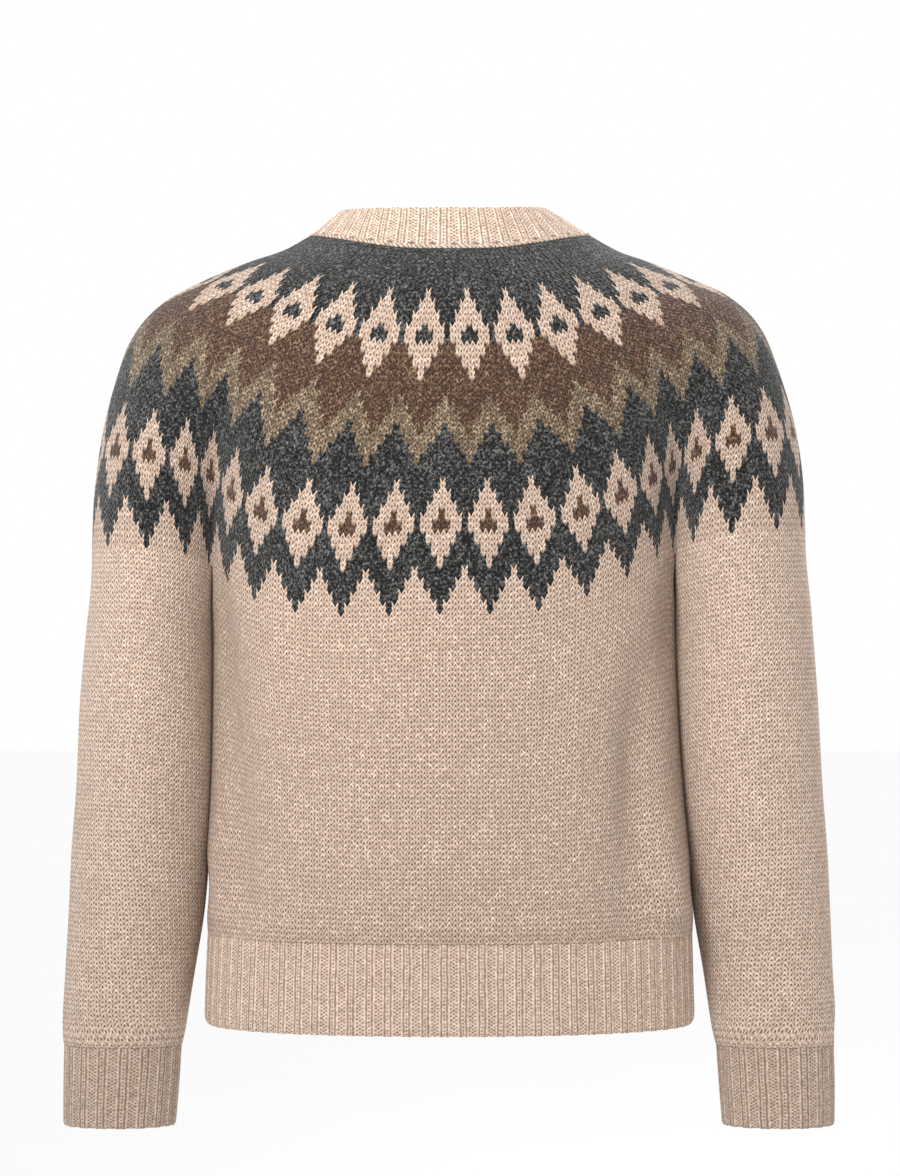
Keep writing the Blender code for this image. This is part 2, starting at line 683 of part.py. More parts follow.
def add_button(number, at):
    """A round button with a rolled rim, on a shank through its slit."""
    middle = sum(OVER_BAND) / 2
    here, below = band_grid((at, at + 0.004), (middle, middle - 0.002))
    across = here[1] - here[0]
    down = below[0] - here[0]
    out = np.cross(across, down)
    out /= np.linalg.norm(out)
    across /= np.linalg.norm(across)
    up = np.cross(across, out)
    base = OVER_LIFT + BAND_CLOTH + RIB_HEIGHT + SEAM_GAP
    foot = RIB_HEIGHT + SEAM_GAP
    profile = (
        # radius, height above the panel
        (SHANK_RADIUS, foot),
        (SHANK_RADIUS, base),
        (BUTTON_RADIUS * 0.80, base),
        (BUTTON_RADIUS, base + BUTTON_THICKNESS * 0.45),
        (BUTTON_RADIUS * 0.88, base + BUTTON_THICKNESS),
        (BUTTON_RADIUS * 0.62, base + BUTTON_THICKNESS * 0.72),
    )
    builder = bmesh.new()
    rings = []
    for radius, height in profile:
        ring = []
        for side in range(BUTTON_SIDES):
            angle = 2 * math.pi * side / BUTTON_SIDES
            turn = across * math.cos(angle) + up * math.sin(angle)
            ring.append(builder.verts.new(here[0] + turn * radius + out * height))
        rings.append(ring)
    for lower, upper in zip(rings, rings[1:]):
        for side in range(BUTTON_SIDES):
            after = (side + 1) % BUTTON_SIDES
            builder.faces.new((lower[side], lower[after], upper[after], upper[side]))
    builder.faces.new(rings[0])
    builder.faces.new(rings[-1])
    bmesh.ops.recalc_face_normals(builder, faces=builder.faces)
    add_object("button_" + str(number), builder, HORN)


def main():
    """Build every piece."""
    for old in list(bpy.data.objects):
        bpy.data.objects.remove(old, do_unlink=True)
    add_yoke()
    add_body()
    for side in ("left", "right"):
        add_sleeve(side)
        add_cuff(side)
    add_hem()
    add_neckband()
    add_bands()
    for number, at in enumerate(button_lengths(), start=1):
        add_button(number, at)


main()
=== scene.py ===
"""Looks of a round-yoke knitted cardigan, filled out as if worn.

The back faces +Y and the front -Y. The wearer's left is +X. The origin is level with
the base of the neck, at its middle. All sizes are in metres.
"""

import math

import bmesh
import bpy
import numpy as np
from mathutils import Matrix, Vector


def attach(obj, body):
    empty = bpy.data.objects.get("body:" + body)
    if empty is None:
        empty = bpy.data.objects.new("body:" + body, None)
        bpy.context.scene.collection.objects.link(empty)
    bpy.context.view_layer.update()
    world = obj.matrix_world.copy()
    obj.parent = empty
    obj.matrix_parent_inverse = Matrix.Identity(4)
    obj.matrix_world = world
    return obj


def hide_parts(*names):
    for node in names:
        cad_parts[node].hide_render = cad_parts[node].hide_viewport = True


bl_info = {
    "name": "Jacquard cardigan",
    "version": (1, 0, 0),
    "blender": (4, 5, 0),
    "location": "3D View > Sidebar > Cardigan",
    "description": "Knitted cloth, buttons, light and camera round the solids of a cardigan",
    "category": "Add Mesh",
}

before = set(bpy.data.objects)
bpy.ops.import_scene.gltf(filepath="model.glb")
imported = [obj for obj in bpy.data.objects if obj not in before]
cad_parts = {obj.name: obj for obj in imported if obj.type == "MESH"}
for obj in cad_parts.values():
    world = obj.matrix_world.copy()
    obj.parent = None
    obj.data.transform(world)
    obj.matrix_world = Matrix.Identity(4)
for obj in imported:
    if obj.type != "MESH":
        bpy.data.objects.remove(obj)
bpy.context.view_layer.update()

# Knit counts. Columns of stitches are counted from centre back, positive to the left.
QUARTER = 84
CREASE = 48
ARM_HALF = QUARTER - CREASE
UNDERARM = 13
BODY_HALF = 2 * CREASE + UNDERARM
SIDE_SEAM = CREASE + UNDERARM / 2
SLEEVE_HALF = ARM_HALF + UNDERARM / 2
YOKE_ROWS = 68
RING_STEPS = 4

# Cloth
BAND_CLOTH = 0.0022
SEAM_GAP = 0.0003
RIB_HEIGHT = 0.0011

# Front opening, as distances to the left of centre front
LEFT_EDGE = 0.0146
RIGHT_EDGE = -0.0126
UNDER_BAND = (-0.0116, 0.0136)
OVER_BAND = (-0.0160, 0.0140)
OVER_LIFT = RIB_HEIGHT + 2 * SEAM_GAP

# Numbers of ribs
HEM_RIBS = 72
CUFF_RIBS = 18
NECK_RIBS = 34
BAND_RIBS = 3

# Buttons
BUTTON_COUNT = 7
BUTTON_RADIUS = 0.0100
BUTTON_THICKNESS = 0.0032
SHANK_RADIUS = 0.0009
SLIT_HALF_LENGTH = 0.0080

# Levels of the yoke, from the neck down. Depths are away from the middle plane.
YOKE_LEVELS = (
    # row, back z, back y, left x, left z, right x, right z, front z, front y, arm share
    (0.0, -0.0106, 0.0620, 0.0980, 0.0026, 0.0984, 0.0026, -0.0620, 0.0700, 0.00),
    (5.0, -0.0246, 0.0770, 0.1168, -0.0077, 0.1182, -0.0084, -0.0790, 0.0800, 0.00),
    (10.0, -0.0407, 0.0885, 0.1397, -0.0154, 0.1372, -0.0150, -0.0960, 0.0885, 0.00),
    (17.5, -0.0715, 0.0985, 0.1698, -0.0277, 0.1684, -0.0273, -0.1220, 0.0975, 0.00),
    (25.0, -0.1030, 0.1045, 0.1992, -0.0434, 0.1950, -0.0399, -0.1500, 0.1055, 0.03),
    (35.0, -0.1358, 0.1090, 0.2244, -0.0728, 0.2192, -0.0651, -0.1870, 0.1130, 0.16),
    (42.0, -0.1594, 0.1113, 0.2349, -0.1029, 0.2300, -0.0920, -0.2120, 0.1165, 0.38),
    (52.5, -0.1997, 0.1133, 0.2449, -0.1470, 0.2421, -0.1344, -0.2480, 0.1190, 0.74),
    (60.0, -0.2295, 0.1138, 0.2489, -0.1806, 0.2468, -0.1666, -0.2730, 0.1190, 0.92),
    (68.0, -0.2602, 0.1132, 0.2503, -0.2149, 0.2485, -0.2030, -0.2980, 0.1180, 1.00),
)

# Plan of the body and arm where the yoke ends, for each side
ARM_PLAN = {
    # half width of the body, of the arm, half depth of the arm
    "left": (0.1720, 0.0455, 0.0660),
    "right": (0.1620, 0.0490, 0.0660),
}

# Levels of the body below the yoke
BODY_LEVELS = (
    # z, left x, right x, back y, front y
    (-0.5000, 0.1692, 0.1692, 0.1050, 0.1065),
    (-0.4840, 0.1694, 0.1694, 0.1056, 0.1075),
    (-0.4740, 0.1698, 0.1698, 0.1088, 0.1098),
    (-0.4600, 0.1688, 0.1688, 0.1098, 0.1120),
    (-0.4200, 0.1670, 0.1642, 0.1096, 0.1140),
    (-0.3600, 0.1646, 0.1592, 0.1110, 0.1160),
    (-0.3000, 0.1638, 0.1562, 0.1126, 0.1175),
    (-0.2200, 0.1642, 0.1545, 0.1132, 0.1180),
)
RIB_TOP_Z = -0.4840
HEM_LEVELS = (
    # z, left x, right x, back y, front y
    (-0.5460, 0.1718, 0.1712, 0.1030, 0.1048),
    (-0.5150, 0.1708, 0.1702, 0.1040, 0.1058),
    (-0.4840, 0.1694, 0.1694, 0.1052, 0.1071),
)
HEM_Z = -0.5460

# Levels of the sleeves below the yoke: middle and half sizes of each round
SLEEVE_LEVELS = {
    "left": (
        # z, middle x, middle y, half width, half depth
        (-0.5660, 0.2298, -0.0120, 0.0424, 0.0310),
        (-0.5560, 0.2292, -0.0115, 0.0432, 0.0350),
        (-0.5110, 0.2243, -0.0080, 0.0455, 0.0410),
        (-0.4690, 0.2195, -0.0045, 0.0476, 0.0460),
        (-0.4270, 0.2166, -0.0015, 0.0483, 0.0505),
        (-0.3850, 0.2138, 0.0010, 0.0477, 0.0545),
        (-0.3220, 0.2118, 0.0020, 0.0468, 0.0590),
        (-0.2520, 0.2087, 0.0010, 0.0438, 0.0640),
        (-0.2100, 0.2075, 0.0000, 0.0430, 0.0660),
    ),
    "right": (
        # z, middle x, middle y, half width, half depth
        (-0.5660, 0.2284, -0.0120, 0.0424, 0.0310),
        (-0.5560, 0.2278, -0.0115, 0.0434, 0.0350),
        (-0.5110, 0.2230, -0.0080, 0.0455, 0.0410),
        (-0.4690, 0.2184, -0.0045, 0.0480, 0.0460),
        (-0.4270, 0.2152, -0.0015, 0.0489, 0.0505),
        (-0.3850, 0.2115, 0.0010, 0.0492, 0.0545),
        (-0.3220, 0.2076, 0.0020, 0.0496, 0.0590),
        (-0.2520, 0.2040, 0.0010, 0.0482, 0.0640),
        (-0.2000, 0.2025, 0.0000, 0.0470, 0.0660),
    ),
}
CUFF_TOP_Z = -0.5640
CUFF_Z = -0.6210
CUFF_LEVELS = (
    # z, middle x left, middle x right, middle y, half width, half depth
    (-0.6210, 0.2325, 0.2310, -0.0150, 0.0396, 0.0285),
    (-0.5920, 0.2311, 0.2298, -0.0136, 0.0408, 0.0288),
    (-0.5640, 0.2298, 0.2284, -0.0122, 0.0414, 0.0294),
)

# Upper edge of the neckband
NECK_TOP = {
    "back": (0.0186, 0.0500),
    "left": (0.0766, 0.0205),
    "right": (0.0680, 0.0222),
    "front": (-0.0390, 0.0560),
}

# Long soft troughs (negative) and rolls (positive) of the body
BODY_FOLDS = (
    # column and z at the top, column and z at the foot, half width in columns, height
    (43.0, -0.250, 37.0, -0.486, 3.5, -0.0050),
    (-39.0, -0.262, -31.0, -0.482, 4.0, -0.0080),
    (-42.5, -0.380, -38.5, -0.478, 3.5, 0.0050),
    (46.0, -0.400, 43.5, -0.478, 3.0, 0.0035),
    (67.0, -0.270, 72.0, -0.486, 4.0, -0.0060),
    (-68.0, -0.265, -74.0, -0.484, 4.0, -0.0065),
    (88.0, -0.320, 84.0, -0.480, 5.0, -0.0035),
    (-90.0, -0.330, -85.0, -0.480, 5.0, -0.0035),
)


def read_levels(table, key):
    """Smoothly read every column of a table at the given heights or rows."""
    rows = np.array(sorted(table), dtype=float)
    keys = rows[:, 0]
    slopes = np.gradient(rows, keys, axis=0)
    key = np.clip(np.asarray(key, dtype=float), keys[0], keys[-1])
    index = np.clip(np.searchsorted(keys, key, side="right") - 1, 0, len(keys) - 2)
    span = (keys[index + 1] - keys[index])[..., None]
    share = (key - keys[index])[..., None] / span
    rest = 1.0 - share
    ends = rows[index] * (1 + 2 * share) * rest ** 2 + rows[index + 1] * (3 - 2 * share) * share ** 2
    lean = slopes[index] * share * rest ** 2 - slopes[index + 1] * rest * share ** 2
    return np.moveaxis(ends + span * lean, -1, 0)


def ease(start, end, value):
    """A smooth step from 0 at start to 1 at end."""
    share = np.clip((np.asarray(value, dtype=float) - start) / (end - start), 0.0, 1.0)
    return share * share * (3.0 - 2.0 * share)


def evenly(path, count):
    """A path in plan again, with count points at equal distances."""
    steps = np.hypot(*np.diff(path, axis=0).T)
    length = np.concatenate(([0.0], np.cumsum(steps)))
    at = np.linspace(0.0, length[-1], count)
    return np.column_stack([np.interp(at, length, path[:, axis]) for axis in (0, 1)])


def quarter_oval(width, depth):
    """A quarter of an oval, from the middle plane round to the side."""
    angle = np.linspace(0.0, math.pi / 2, 200)
    path = np.column_stack((width * np.sin(angle), depth * np.cos(angle)))
    return evenly(path, QUARTER * RING_STEPS + 1)


def quarter_body_and_arm(side_x, depth, plan):
    """A quarter round the body as far as the armpit crease, then round the arm."""
    body_width, arm_width, arm_depth = plan
    arm_x = side_x - arm_width
    angle = np.linspace(0.0, math.pi / 2, 400)
    body = np.column_stack((body_width * np.sin(angle), depth * np.cos(angle)))
    inside = ((body[:, 0] - arm_x) / arm_width) ** 2 + (body[:, 1] / arm_depth) ** 2 < 1.0
    body = body[:np.argmax(inside) + 1]
    start = math.atan2(body[-1, 1] / arm_depth, (body[-1, 0] - arm_x) / arm_width)
    angle = np.linspace(start, 0.0, 400)
    arm = np.column_stack((arm_x + arm_width * np.cos(angle), arm_depth * np.sin(angle)))
    body = evenly(body, CREASE * RING_STEPS + 1)
    arm = evenly(arm, ARM_HALF * RING_STEPS + 1)
    return np.vstack((body, arm[1:]))


def soften(loop, columns):
    """A closed loop in plan with its corners rounded over some columns."""
    steps = np.fft.fftfreq(len(loop)) * 2 * math.pi * columns * RING_STEPS
    wave = np.fft.fft(loop[:, 0] + 1j * loop[:, 1]) * np.exp(-0.5 * steps ** 2)
    loop = np.fft.ifft(wave)
    return np.column_stack((loop.real, loop.imag))


def yoke_ring(row):
    """The columns of one round of the yoke, and their points."""
    level = read_levels(YOKE_LEVELS, row)
    _, back_z, back_y, left_x, left_z, right_x, right_z, front_z, front_y, arm = level
    quarters = []
    heights = []
    share = np.linspace(0.0, 1.0, QUARTER * RING_STEPS + 1)
    rise = ease(0.12, 1.0 - 0.18 * arm, share)
    for side, side_x, side_z in (("left", left_x, left_z), ("right", right_x, right_z)):
        for depth, middle_z in ((back_y, back_z), (front_y, front_z)):
            oval = quarter_oval(side_x, depth)
            worn = quarter_body_and_arm(side_x, depth, ARM_PLAN[side])
            quarters.append(oval * (1 - arm) + worn * arm)
            heights.append(middle_z + (side_z - middle_z) * rise)
    back_left, front_left, back_right, front_right = quarters
    plan = np.vstack((
        back_left[:-1],
        (front_left * (1, -1))[:0:-1],
        (front_right * (-1, -1))[:-1],
        (back_right * (-1, 1))[:0:-1],
    ))
    height = np.concatenate((
        heights[0][:-1], heights[1][:0:-1], heights[3][:-1], heights[2][:0:-1],
    ))
    plan = soften(plan, CREASE_SOFTNESS)
    half = 2 * QUARTER * RING_STEPS
    order = np.arange(-half, half + 1) % (2 * half)
    columns = np.arange(-half, half + 1) / RING_STEPS
    return columns, np.column_stack((plan[order], height[order]))


def read_ring(columns, points, at):
    """Points of a ring at the given columns."""
    return np.column_stack([np.interp(at, columns, points[:, axis]) for axis in range(3)])


def yoke_points(rows, columns):
    """Grid of yoke points: rounds down, columns across."""
    grid = []
    for row in rows:
        grid.append(read_ring(*yoke_ring(row), columns))
    return np.array(grid)


def edge_column(points_at, level, edge, half):
    """Column at which a round meets a front edge."""
    columns = np.sign(edge) * np.linspace(half - 10, half, 41)
    points = points_at((level,), columns)[0]
    order = np.argsort(points[:, 0])
    return np.interp(edge, points[order, 0], columns[order])


def body_top(columns):
    """Points of the body's top round: two yoke arcs joined under the arms."""
    ring_columns, ring = yoke_ring(YOKE_ROWS)
    side = np.sign(columns)
    away = np.abs(columns)
    over = side * np.where(away <= CREASE, away, away + 2 * ARM_HALF - UNDERARM)
    points = read_ring(ring_columns, ring, over)
    under = (away > CREASE) & (away < CREASE + UNDERARM)
    for index in np.flatnonzero(under):
        share = (away[index] - CREASE) / UNDERARM
        ends = read_ring(ring_columns, ring, side[index] * np.array((CREASE, 2 * QUARTER - CREASE)))
        points[index] = ends[0] * (1 - share) + ends[1] * share
    return points


def unit_body_ring(columns):
    """Direction of each body column on an oval of unit size."""
    angle = np.linspace(0.0, math.pi, 800)
    sine = np.sin(angle) ** 0.92
    cosine = np.sign(np.cos(angle)) * np.abs(np.cos(angle)) ** 0.92
    path = evenly(np.column_stack((0.166 * sine, 0.112 * cosine)), 4 * BODY_HALF + 1)
    at = np.arange(4 * BODY_HALF + 1) / 4
    x = np.interp(np.abs(columns), at, path[:, 0] / 0.166)
    y = np.interp(np.abs(columns), at, path[:, 1] / 0.112)
    return np.sign(columns) * x, y


def oval_points(table, direction, z):
    """Points at height z on the ovals of a body or hem table."""
    along_x, along_y = direction
    _, left, right, back, front = read_levels(table, z)
    x = along_x * np.where(along_x > 0, left, right)
    y = along_y * np.where(along_y > 0, back, front)
    return x, y


def fold_height(columns, z):
    """Height of the body's troughs and rolls at each point."""
    height = np.zeros_like(z)
    for top, top_z, foot, foot_z, width, rise in BODY_FOLDS:
        share = (z - top_z) / (foot_z - top_z)
        middle = top + (foot - top) * share
        across = np.exp(-0.5 * ((columns - middle) / width) ** 2)
        along = ease(-0.05, 0.45, share) * (1.0 - ease(0.88, 1.0, share))
        height += rise * across * along
    return height


def body_points(depths, columns):
    """Grid of body points: depth 0 is the yoke's edge and 1 the top of the hem rib."""
    columns = np.asarray(columns, dtype=float)
    top = body_top(columns)
    direction = unit_body_ring(columns)
    grid = []
    for depth in depths:
        z = top[:, 2] * (1 - depth) + RIB_TOP_Z * depth
        x, y = oval_points(BODY_LEVELS, direction, z)
        lift = fold_height(columns, z)
        length = np.hypot(direction[0] / 0.166, direction[1] / 0.112)
        x = x + lift * direction[0] / 0.166 / length
        y = y + lift * direction[1] / 0.112 / length
        free = ease(0.0, 0.22, depth)
        plan_x = top[:, 0] * (1 - free) + x * free
        plan_y = top[:, 1] * (1 - free) + y * free
        grid.append(np.column_stack((plan_x, plan_y, z)))
    return np.array(grid)


def hem_points(depths, columns):
    """Grid of hem-rib points: depth 0 is the top of the rib and 1 its edge."""
    columns = np.asarray(columns, dtype=float)
    direction = unit_body_ring(columns)
    grid = []
    for depth in depths:
        z = np.full(len(columns), RIB_TOP_Z + (HEM_Z - RIB_TOP_Z) * depth)
        x, y = oval_points(HEM_LEVELS, direction, z)
        grid.append(np.column_stack((x, y, z)))
    return np.array(grid)


def unit_sleeve_ring(columns):
    """Direction of each sleeve column: 0 is the outer line, positive to the front."""
    angle = np.linspace(0.0, math.pi, 400)
    path = evenly(np.column_stack((0.047 * np.cos(angle), 0.054 * np.sin(angle))), 341)
    at = np.linspace(0.0, SLEEVE_HALF, 341)
    x = np.interp(np.abs(columns), at, path[:, 0] / 0.047)
    y = np.interp(np.abs(columns), at, path[:, 1] / 0.054)
    return x, -np.sign(columns) * y


def sleeve_top(side, columns):
    """Points of a sleeve's top round: the yoke's arm arc, joined under the arm."""
    sign = 1 if side == "left" else -1
    ring_columns, ring = yoke_ring(YOKE_ROWS)
    arc = np.clip(columns, -ARM_HALF, ARM_HALF)
    points = read_ring(ring_columns, ring, sign * (QUARTER + arc))
    back, front = read_ring(ring_columns, ring, sign * np.array((CREASE, 2 * QUARTER - CREASE)))
    middle = (back + front) / 2
    beyond = np.maximum(np.abs(columns) - ARM_HALF, 0.0) / (SLEEVE_HALF - ARM_HALF)
    return points * (1 - beyond[:, None]) + middle * beyond[:, None]


def sleeve_points(side, depths, columns):
    """Grid of sleeve points: depth 0 is the yoke's edge and 1 the top of the cuff."""
    sign = 1 if side == "left" else -1
    columns = np.asarray(columns, dtype=float)
    top = sleeve_top(side, columns)
    along_x, along_y = unit_sleeve_ring(columns)
    grid = []
    for depth in depths:
        z = top[:, 2] * (1 - depth) + CUFF_TOP_Z * depth
        _, middle_x, middle_y, width, breadth = read_levels(SLEEVE_LEVELS[side], z)
        x = sign * (middle_x + width * along_x)
        y = middle_y + breadth * along_y
        free = ease(0.0, 0.16, depth)
        plan_x = top[:, 0] * (1 - free) + x * free
        plan_y = top[:, 1] * (1 - free) + y * free
        grid.append(np.column_stack((plan_x, plan_y, z)))
    return np.array(grid)


def cuff_points(side, depths, columns):
    """Grid of cuff points: depth 0 is the sleeve's foot and 1 the wrist edge."""
    sign = 1 if side == "left" else -1
    along_x, along_y = unit_sleeve_ring(np.asarray(columns, dtype=float))
    grid = []
    for depth in depths:
        z = np.full(len(columns), CUFF_TOP_Z + (CUFF_Z - CUFF_TOP_Z) * depth)
        _, left_x, right_x, middle_y, width, breadth = read_levels(CUFF_LEVELS, z)
        middle_x = left_x if side == "left" else right_x
        x = sign * (middle_x + width * along_x)
        y = middle_y + breadth * along_y
        grid.append(np.column_stack((x, y, z)))
    return np.array(grid)


def neck_points(depths, columns):
    """Grid of neckband points: depth 0 is its upper edge and 1 the yoke."""
    ring_columns, ring = yoke_ring(0.0)
    foot = read_ring(ring_columns, ring, columns)
    away = np.abs(columns) / QUARTER
    angle = np.where(away < 1, away, 2 - away)
    left = columns > 0
    side_x = np.where(left, NECK_TOP["left"][0], NECK_TOP["right"][0])
    side_z = np.where(left, NECK_TOP["left"][1], NECK_TOP["right"][1])
    back = away < 1
    middle_z = np.where(back, NECK_TOP["back"][0], NECK_TOP["front"][0])
    middle_y = np.where(back, NECK_TOP["back"][1], -NECK_TOP["front"][1])
    x = np.sign(columns) * side_x * np.sin(angle * math.pi / 2)
    y = middle_y * np.cos(angle * math.pi / 2)
    z = middle_z + (side_z - middle_z) * ease(0.1, 1.0, angle)
    top = np.column_stack((x, y, z))
    grid = [top * (1 - depth) + foot * depth for depth in depths]
    return np.array(grid)


def grid_normals(grid, closed):
    """Outward direction at each grid point."""
    if closed:
        across = np.roll(grid, -1, axis=1) - np.roll(grid, 1, axis=1)
    else:
        across = np.gradient(grid, axis=1)
    down = np.gradient(grid, axis=0)
    normals = np.cross(across, down)
    return normals / np.linalg.norm(normals, axis=2, keepdims=True)


def front_round(place):
    """Points across centre front at a place: 0 neckband, 1 yoke, 2 body, 3 hem, 4 end."""
    if place < 1:
        columns = np.concatenate((np.linspace(-168, -140, 29), np.linspace(140, 168, 29)))
        points = neck_points((place,), columns)[0]
    elif place < 2:
        columns = np.concatenate((np.linspace(-168, -140, 29), np.linspace(140, 168, 29)))
        points = yoke_points(((place - 1) * YOKE_ROWS,), columns)[0]
    else:
        half = np.linspace(BODY_HALF - 20, BODY_HALF, 29)
        columns = np.concatenate((-half, half))
        points_at = body_points if place < 3 else hem_points
        points = points_at((place - int(min(place, 3)),), columns)[0]
    return points[np.argsort(points[:, 0])]


def band_line():
    """Centre-front points down the whole opening, with the length along them."""
    places = np.linspace(0.0, 4.0, 161)
    line = []
    for place in places:
        points = front_round(place)
        line.append([np.interp(0.0, points[:, 0], points[:, axis]) for axis in (1, 2)])
    steps = np.hypot(*np.diff(np.array(line), axis=0).T)
    return places, np.concatenate(([0.0], np.cumsum(steps)))


def band_grid(lengths, across):
    """Grid of points on the fronts along the opening."""
    places, length = band_line()
    grid = []
    for at in lengths:
        points = front_round(np.interp(at, length, places))
        grid.append([[x, *(np.interp(x, points[:, 0], points[:, axis]) for axis in (1, 2))]
                     for x in across])
    return np.array(grid)


def button_lengths():
    """Distances of the buttons down the opening."""
    total = band_line()[1][-1]
    return np.linspace(0.016, total - 0.034, BUTTON_COUNT)


# Knitting that only the looks need
BODY_ROWS = 65
SLEEVE_ROWS = 102

# Stitches round the whole yoke in its four charted sections, from the neck down
PLAIN_STITCHES = 184
UPPER_STITCHES = 224
ZIGZAG_STITCHES = 280
FULL_STITCHES = 336

# Ribs, and the chain that links the neckband on
RIB_ROW = 0.00240
RIB_STITCHES = 4
RIB_DEPTH = 0.00085
SCALLOP = 0.0009
NECK_LENGTH = 0.0310
CHAIN_DEPTH = 0.925
CHAIN_ROW = CHAIN_DEPTH * NECK_LENGTH / RIB_ROW
CHAIN_HEIGHT = 0.0010
# Painted shade over each rib's colour, darker lower down, and the row of the neckband's chain
RIB_PAINTED_SHADES = {"neck": (0.98, CHAIN_ROW), "hem": (0.90, None), "cuff": (0.74, None)}

# Wool
# How dark the painted shade in the gaps between stitches is
PAINTED_GAP_SHADE = 0.72
WOOL_ROUGHNESS = 0.92
WOOL_SHEEN = 0.18
RIB_RELIEF = 0.7

# Shape: how sharp the crease is, how far the sides fill out and the hem drops, and over
# how many columns a round is drawn in to the front edge
CREASE_SOFTNESS = 0.8
SIDE_FILL = 0.0026
HEM_DROP = 0.0010
DRAWN_IN = 14.0

# Buttonhole slits, and the holes and thread of the buttons
SLIT_STITCHES = 0.55
HOLE_SPREAD = 0.0022
THREAD_RADIUS = 0.00045

# Stage: each light's place, the point that it faces and its power
KEY_LIGHT = ((0.80, 1.60, 0.75), (0.02, 0.1, -0.10), 2.1)
FRONT_LIGHT = ((-0.80, -1.60, 0.75), (-0.02, -0.1, -0.12), 2.0)
LIGHT_SIZE = 0.6
LIGHT_SPREAD = math.radians(42)
FLOOR_HALF = 14.0
SENSOR = 36.0

# One rib from side to side: two knitted stitches stand up, two purled ones lie low
RIB_PROFILE = (
    # place across the rib, place in stitches, height
    (0.000, 0.0, -0.00045),
    (0.065, 0.22, 0.00000),
    (0.150, 0.5, -0.00020),
    (0.300, 1.0, -0.00004),
    (0.450, 1.5, -0.00020),
    (0.520, 1.78, 0.00000),
    (0.585, 2.0, -0.00045),
    (0.690, 2.5, -0.00080),
    (0.795, 3.0, -0.00085),
    (0.900, 3.5, -0.00080),
)

# How the knitting is drawn towards the back creases, for each side
DRAWN_COLUMNS = (
    # column of the form, column of the knitting on the left, on the right
    (0.0, 0.0, 0.0),
    (8.0, 7.4, 7.4),
    (16.0, 15.1, 14.8),
    (24.0, 23.0, 21.7),
    (32.0, 30.1, 29.1),
    (40.0, 38.2, 37.0),
    (48.0, 48.2, 48.0),
    (56.0, 58.2, 57.6),
    (64.0, 67.0, 65.8),
    (72.0, 74.3, 73.5),
    (80.0, 81.0, 80.8),
    (84.0, 84.0, 84.0),
)
DRAWN_ROWS = (
    # column, how far the left sinks from the diamonds down, the right rises lower down
    (0.0, 0.0, 0.0),
    (8.0, 0.2, 0.0),
    (16.0, 0.9, 0.2),
    (24.0, 2.1, 0.7),
    (32.0, 2.7, 1.1),
    (40.0, 2.0, 1.8),
    (48.0, 0.2, 0.8),
    (56.0, 0.0, 0.0),
)

# Small dents and bulges of the body
BODY_DENTS = (
    # column, height z, half width in columns, half height, height
    (-33.0, -0.474, 3.6, 0.0095, -0.0060),
    (-42.0, -0.462, 4.5, 0.0200, 0.0040),
    (-35.0, -0.400, 2.6, 0.0500, -0.0036),
    (-24.0, -0.474, 5.0, 0.0060, 0.0014),
    (40.0, -0.430, 2.6, 0.0450, -0.0022),
    (44.0, -0.330, 2.2, 0.0500, -0.0030),
    (30.0, -0.476, 6.0, 0.0060, 0.0014),
    (10.0, -0.477, 7.0, 0.0055, 0.0012),
    (-8.0, -0.476, 6.0, 0.0055, 0.0012),
    (44.5, -0.266, 2.2, 0.0220, -0.0030),
    (-45.0, -0.262, 2.2, 0.0220, -0.0030),
)

# Small soft dents of the sleeves
SLEEVE_DENTS = (
    # side, column, height z, half width in columns, half height, depth
    ("right", -14.0, -0.545, 7.0, 0.007, 0.0022),
    ("right", -6.0, -0.553, 6.0, 0.005, 0.0016),
    ("right", -24.0, -0.500, 6.0, 0.022, 0.0026),
    ("left", -18.0, -0.548, 8.0, 0.007, 0.0018),
    ("left", -30.0, -0.470, 6.0, 0.030, 0.0024),
    ("left", 20.0, -0.530, 8.0, 0.010, 0.0024),
    ("right", 22.0, -0.520, 8.0, 0.012, 0.0024),
    ("left", 30.0, -0.330, 6.0, 0.030, 0.0030),
    ("right", 30.0, -0.345, 6.0, 0.030, 0.0030),
)


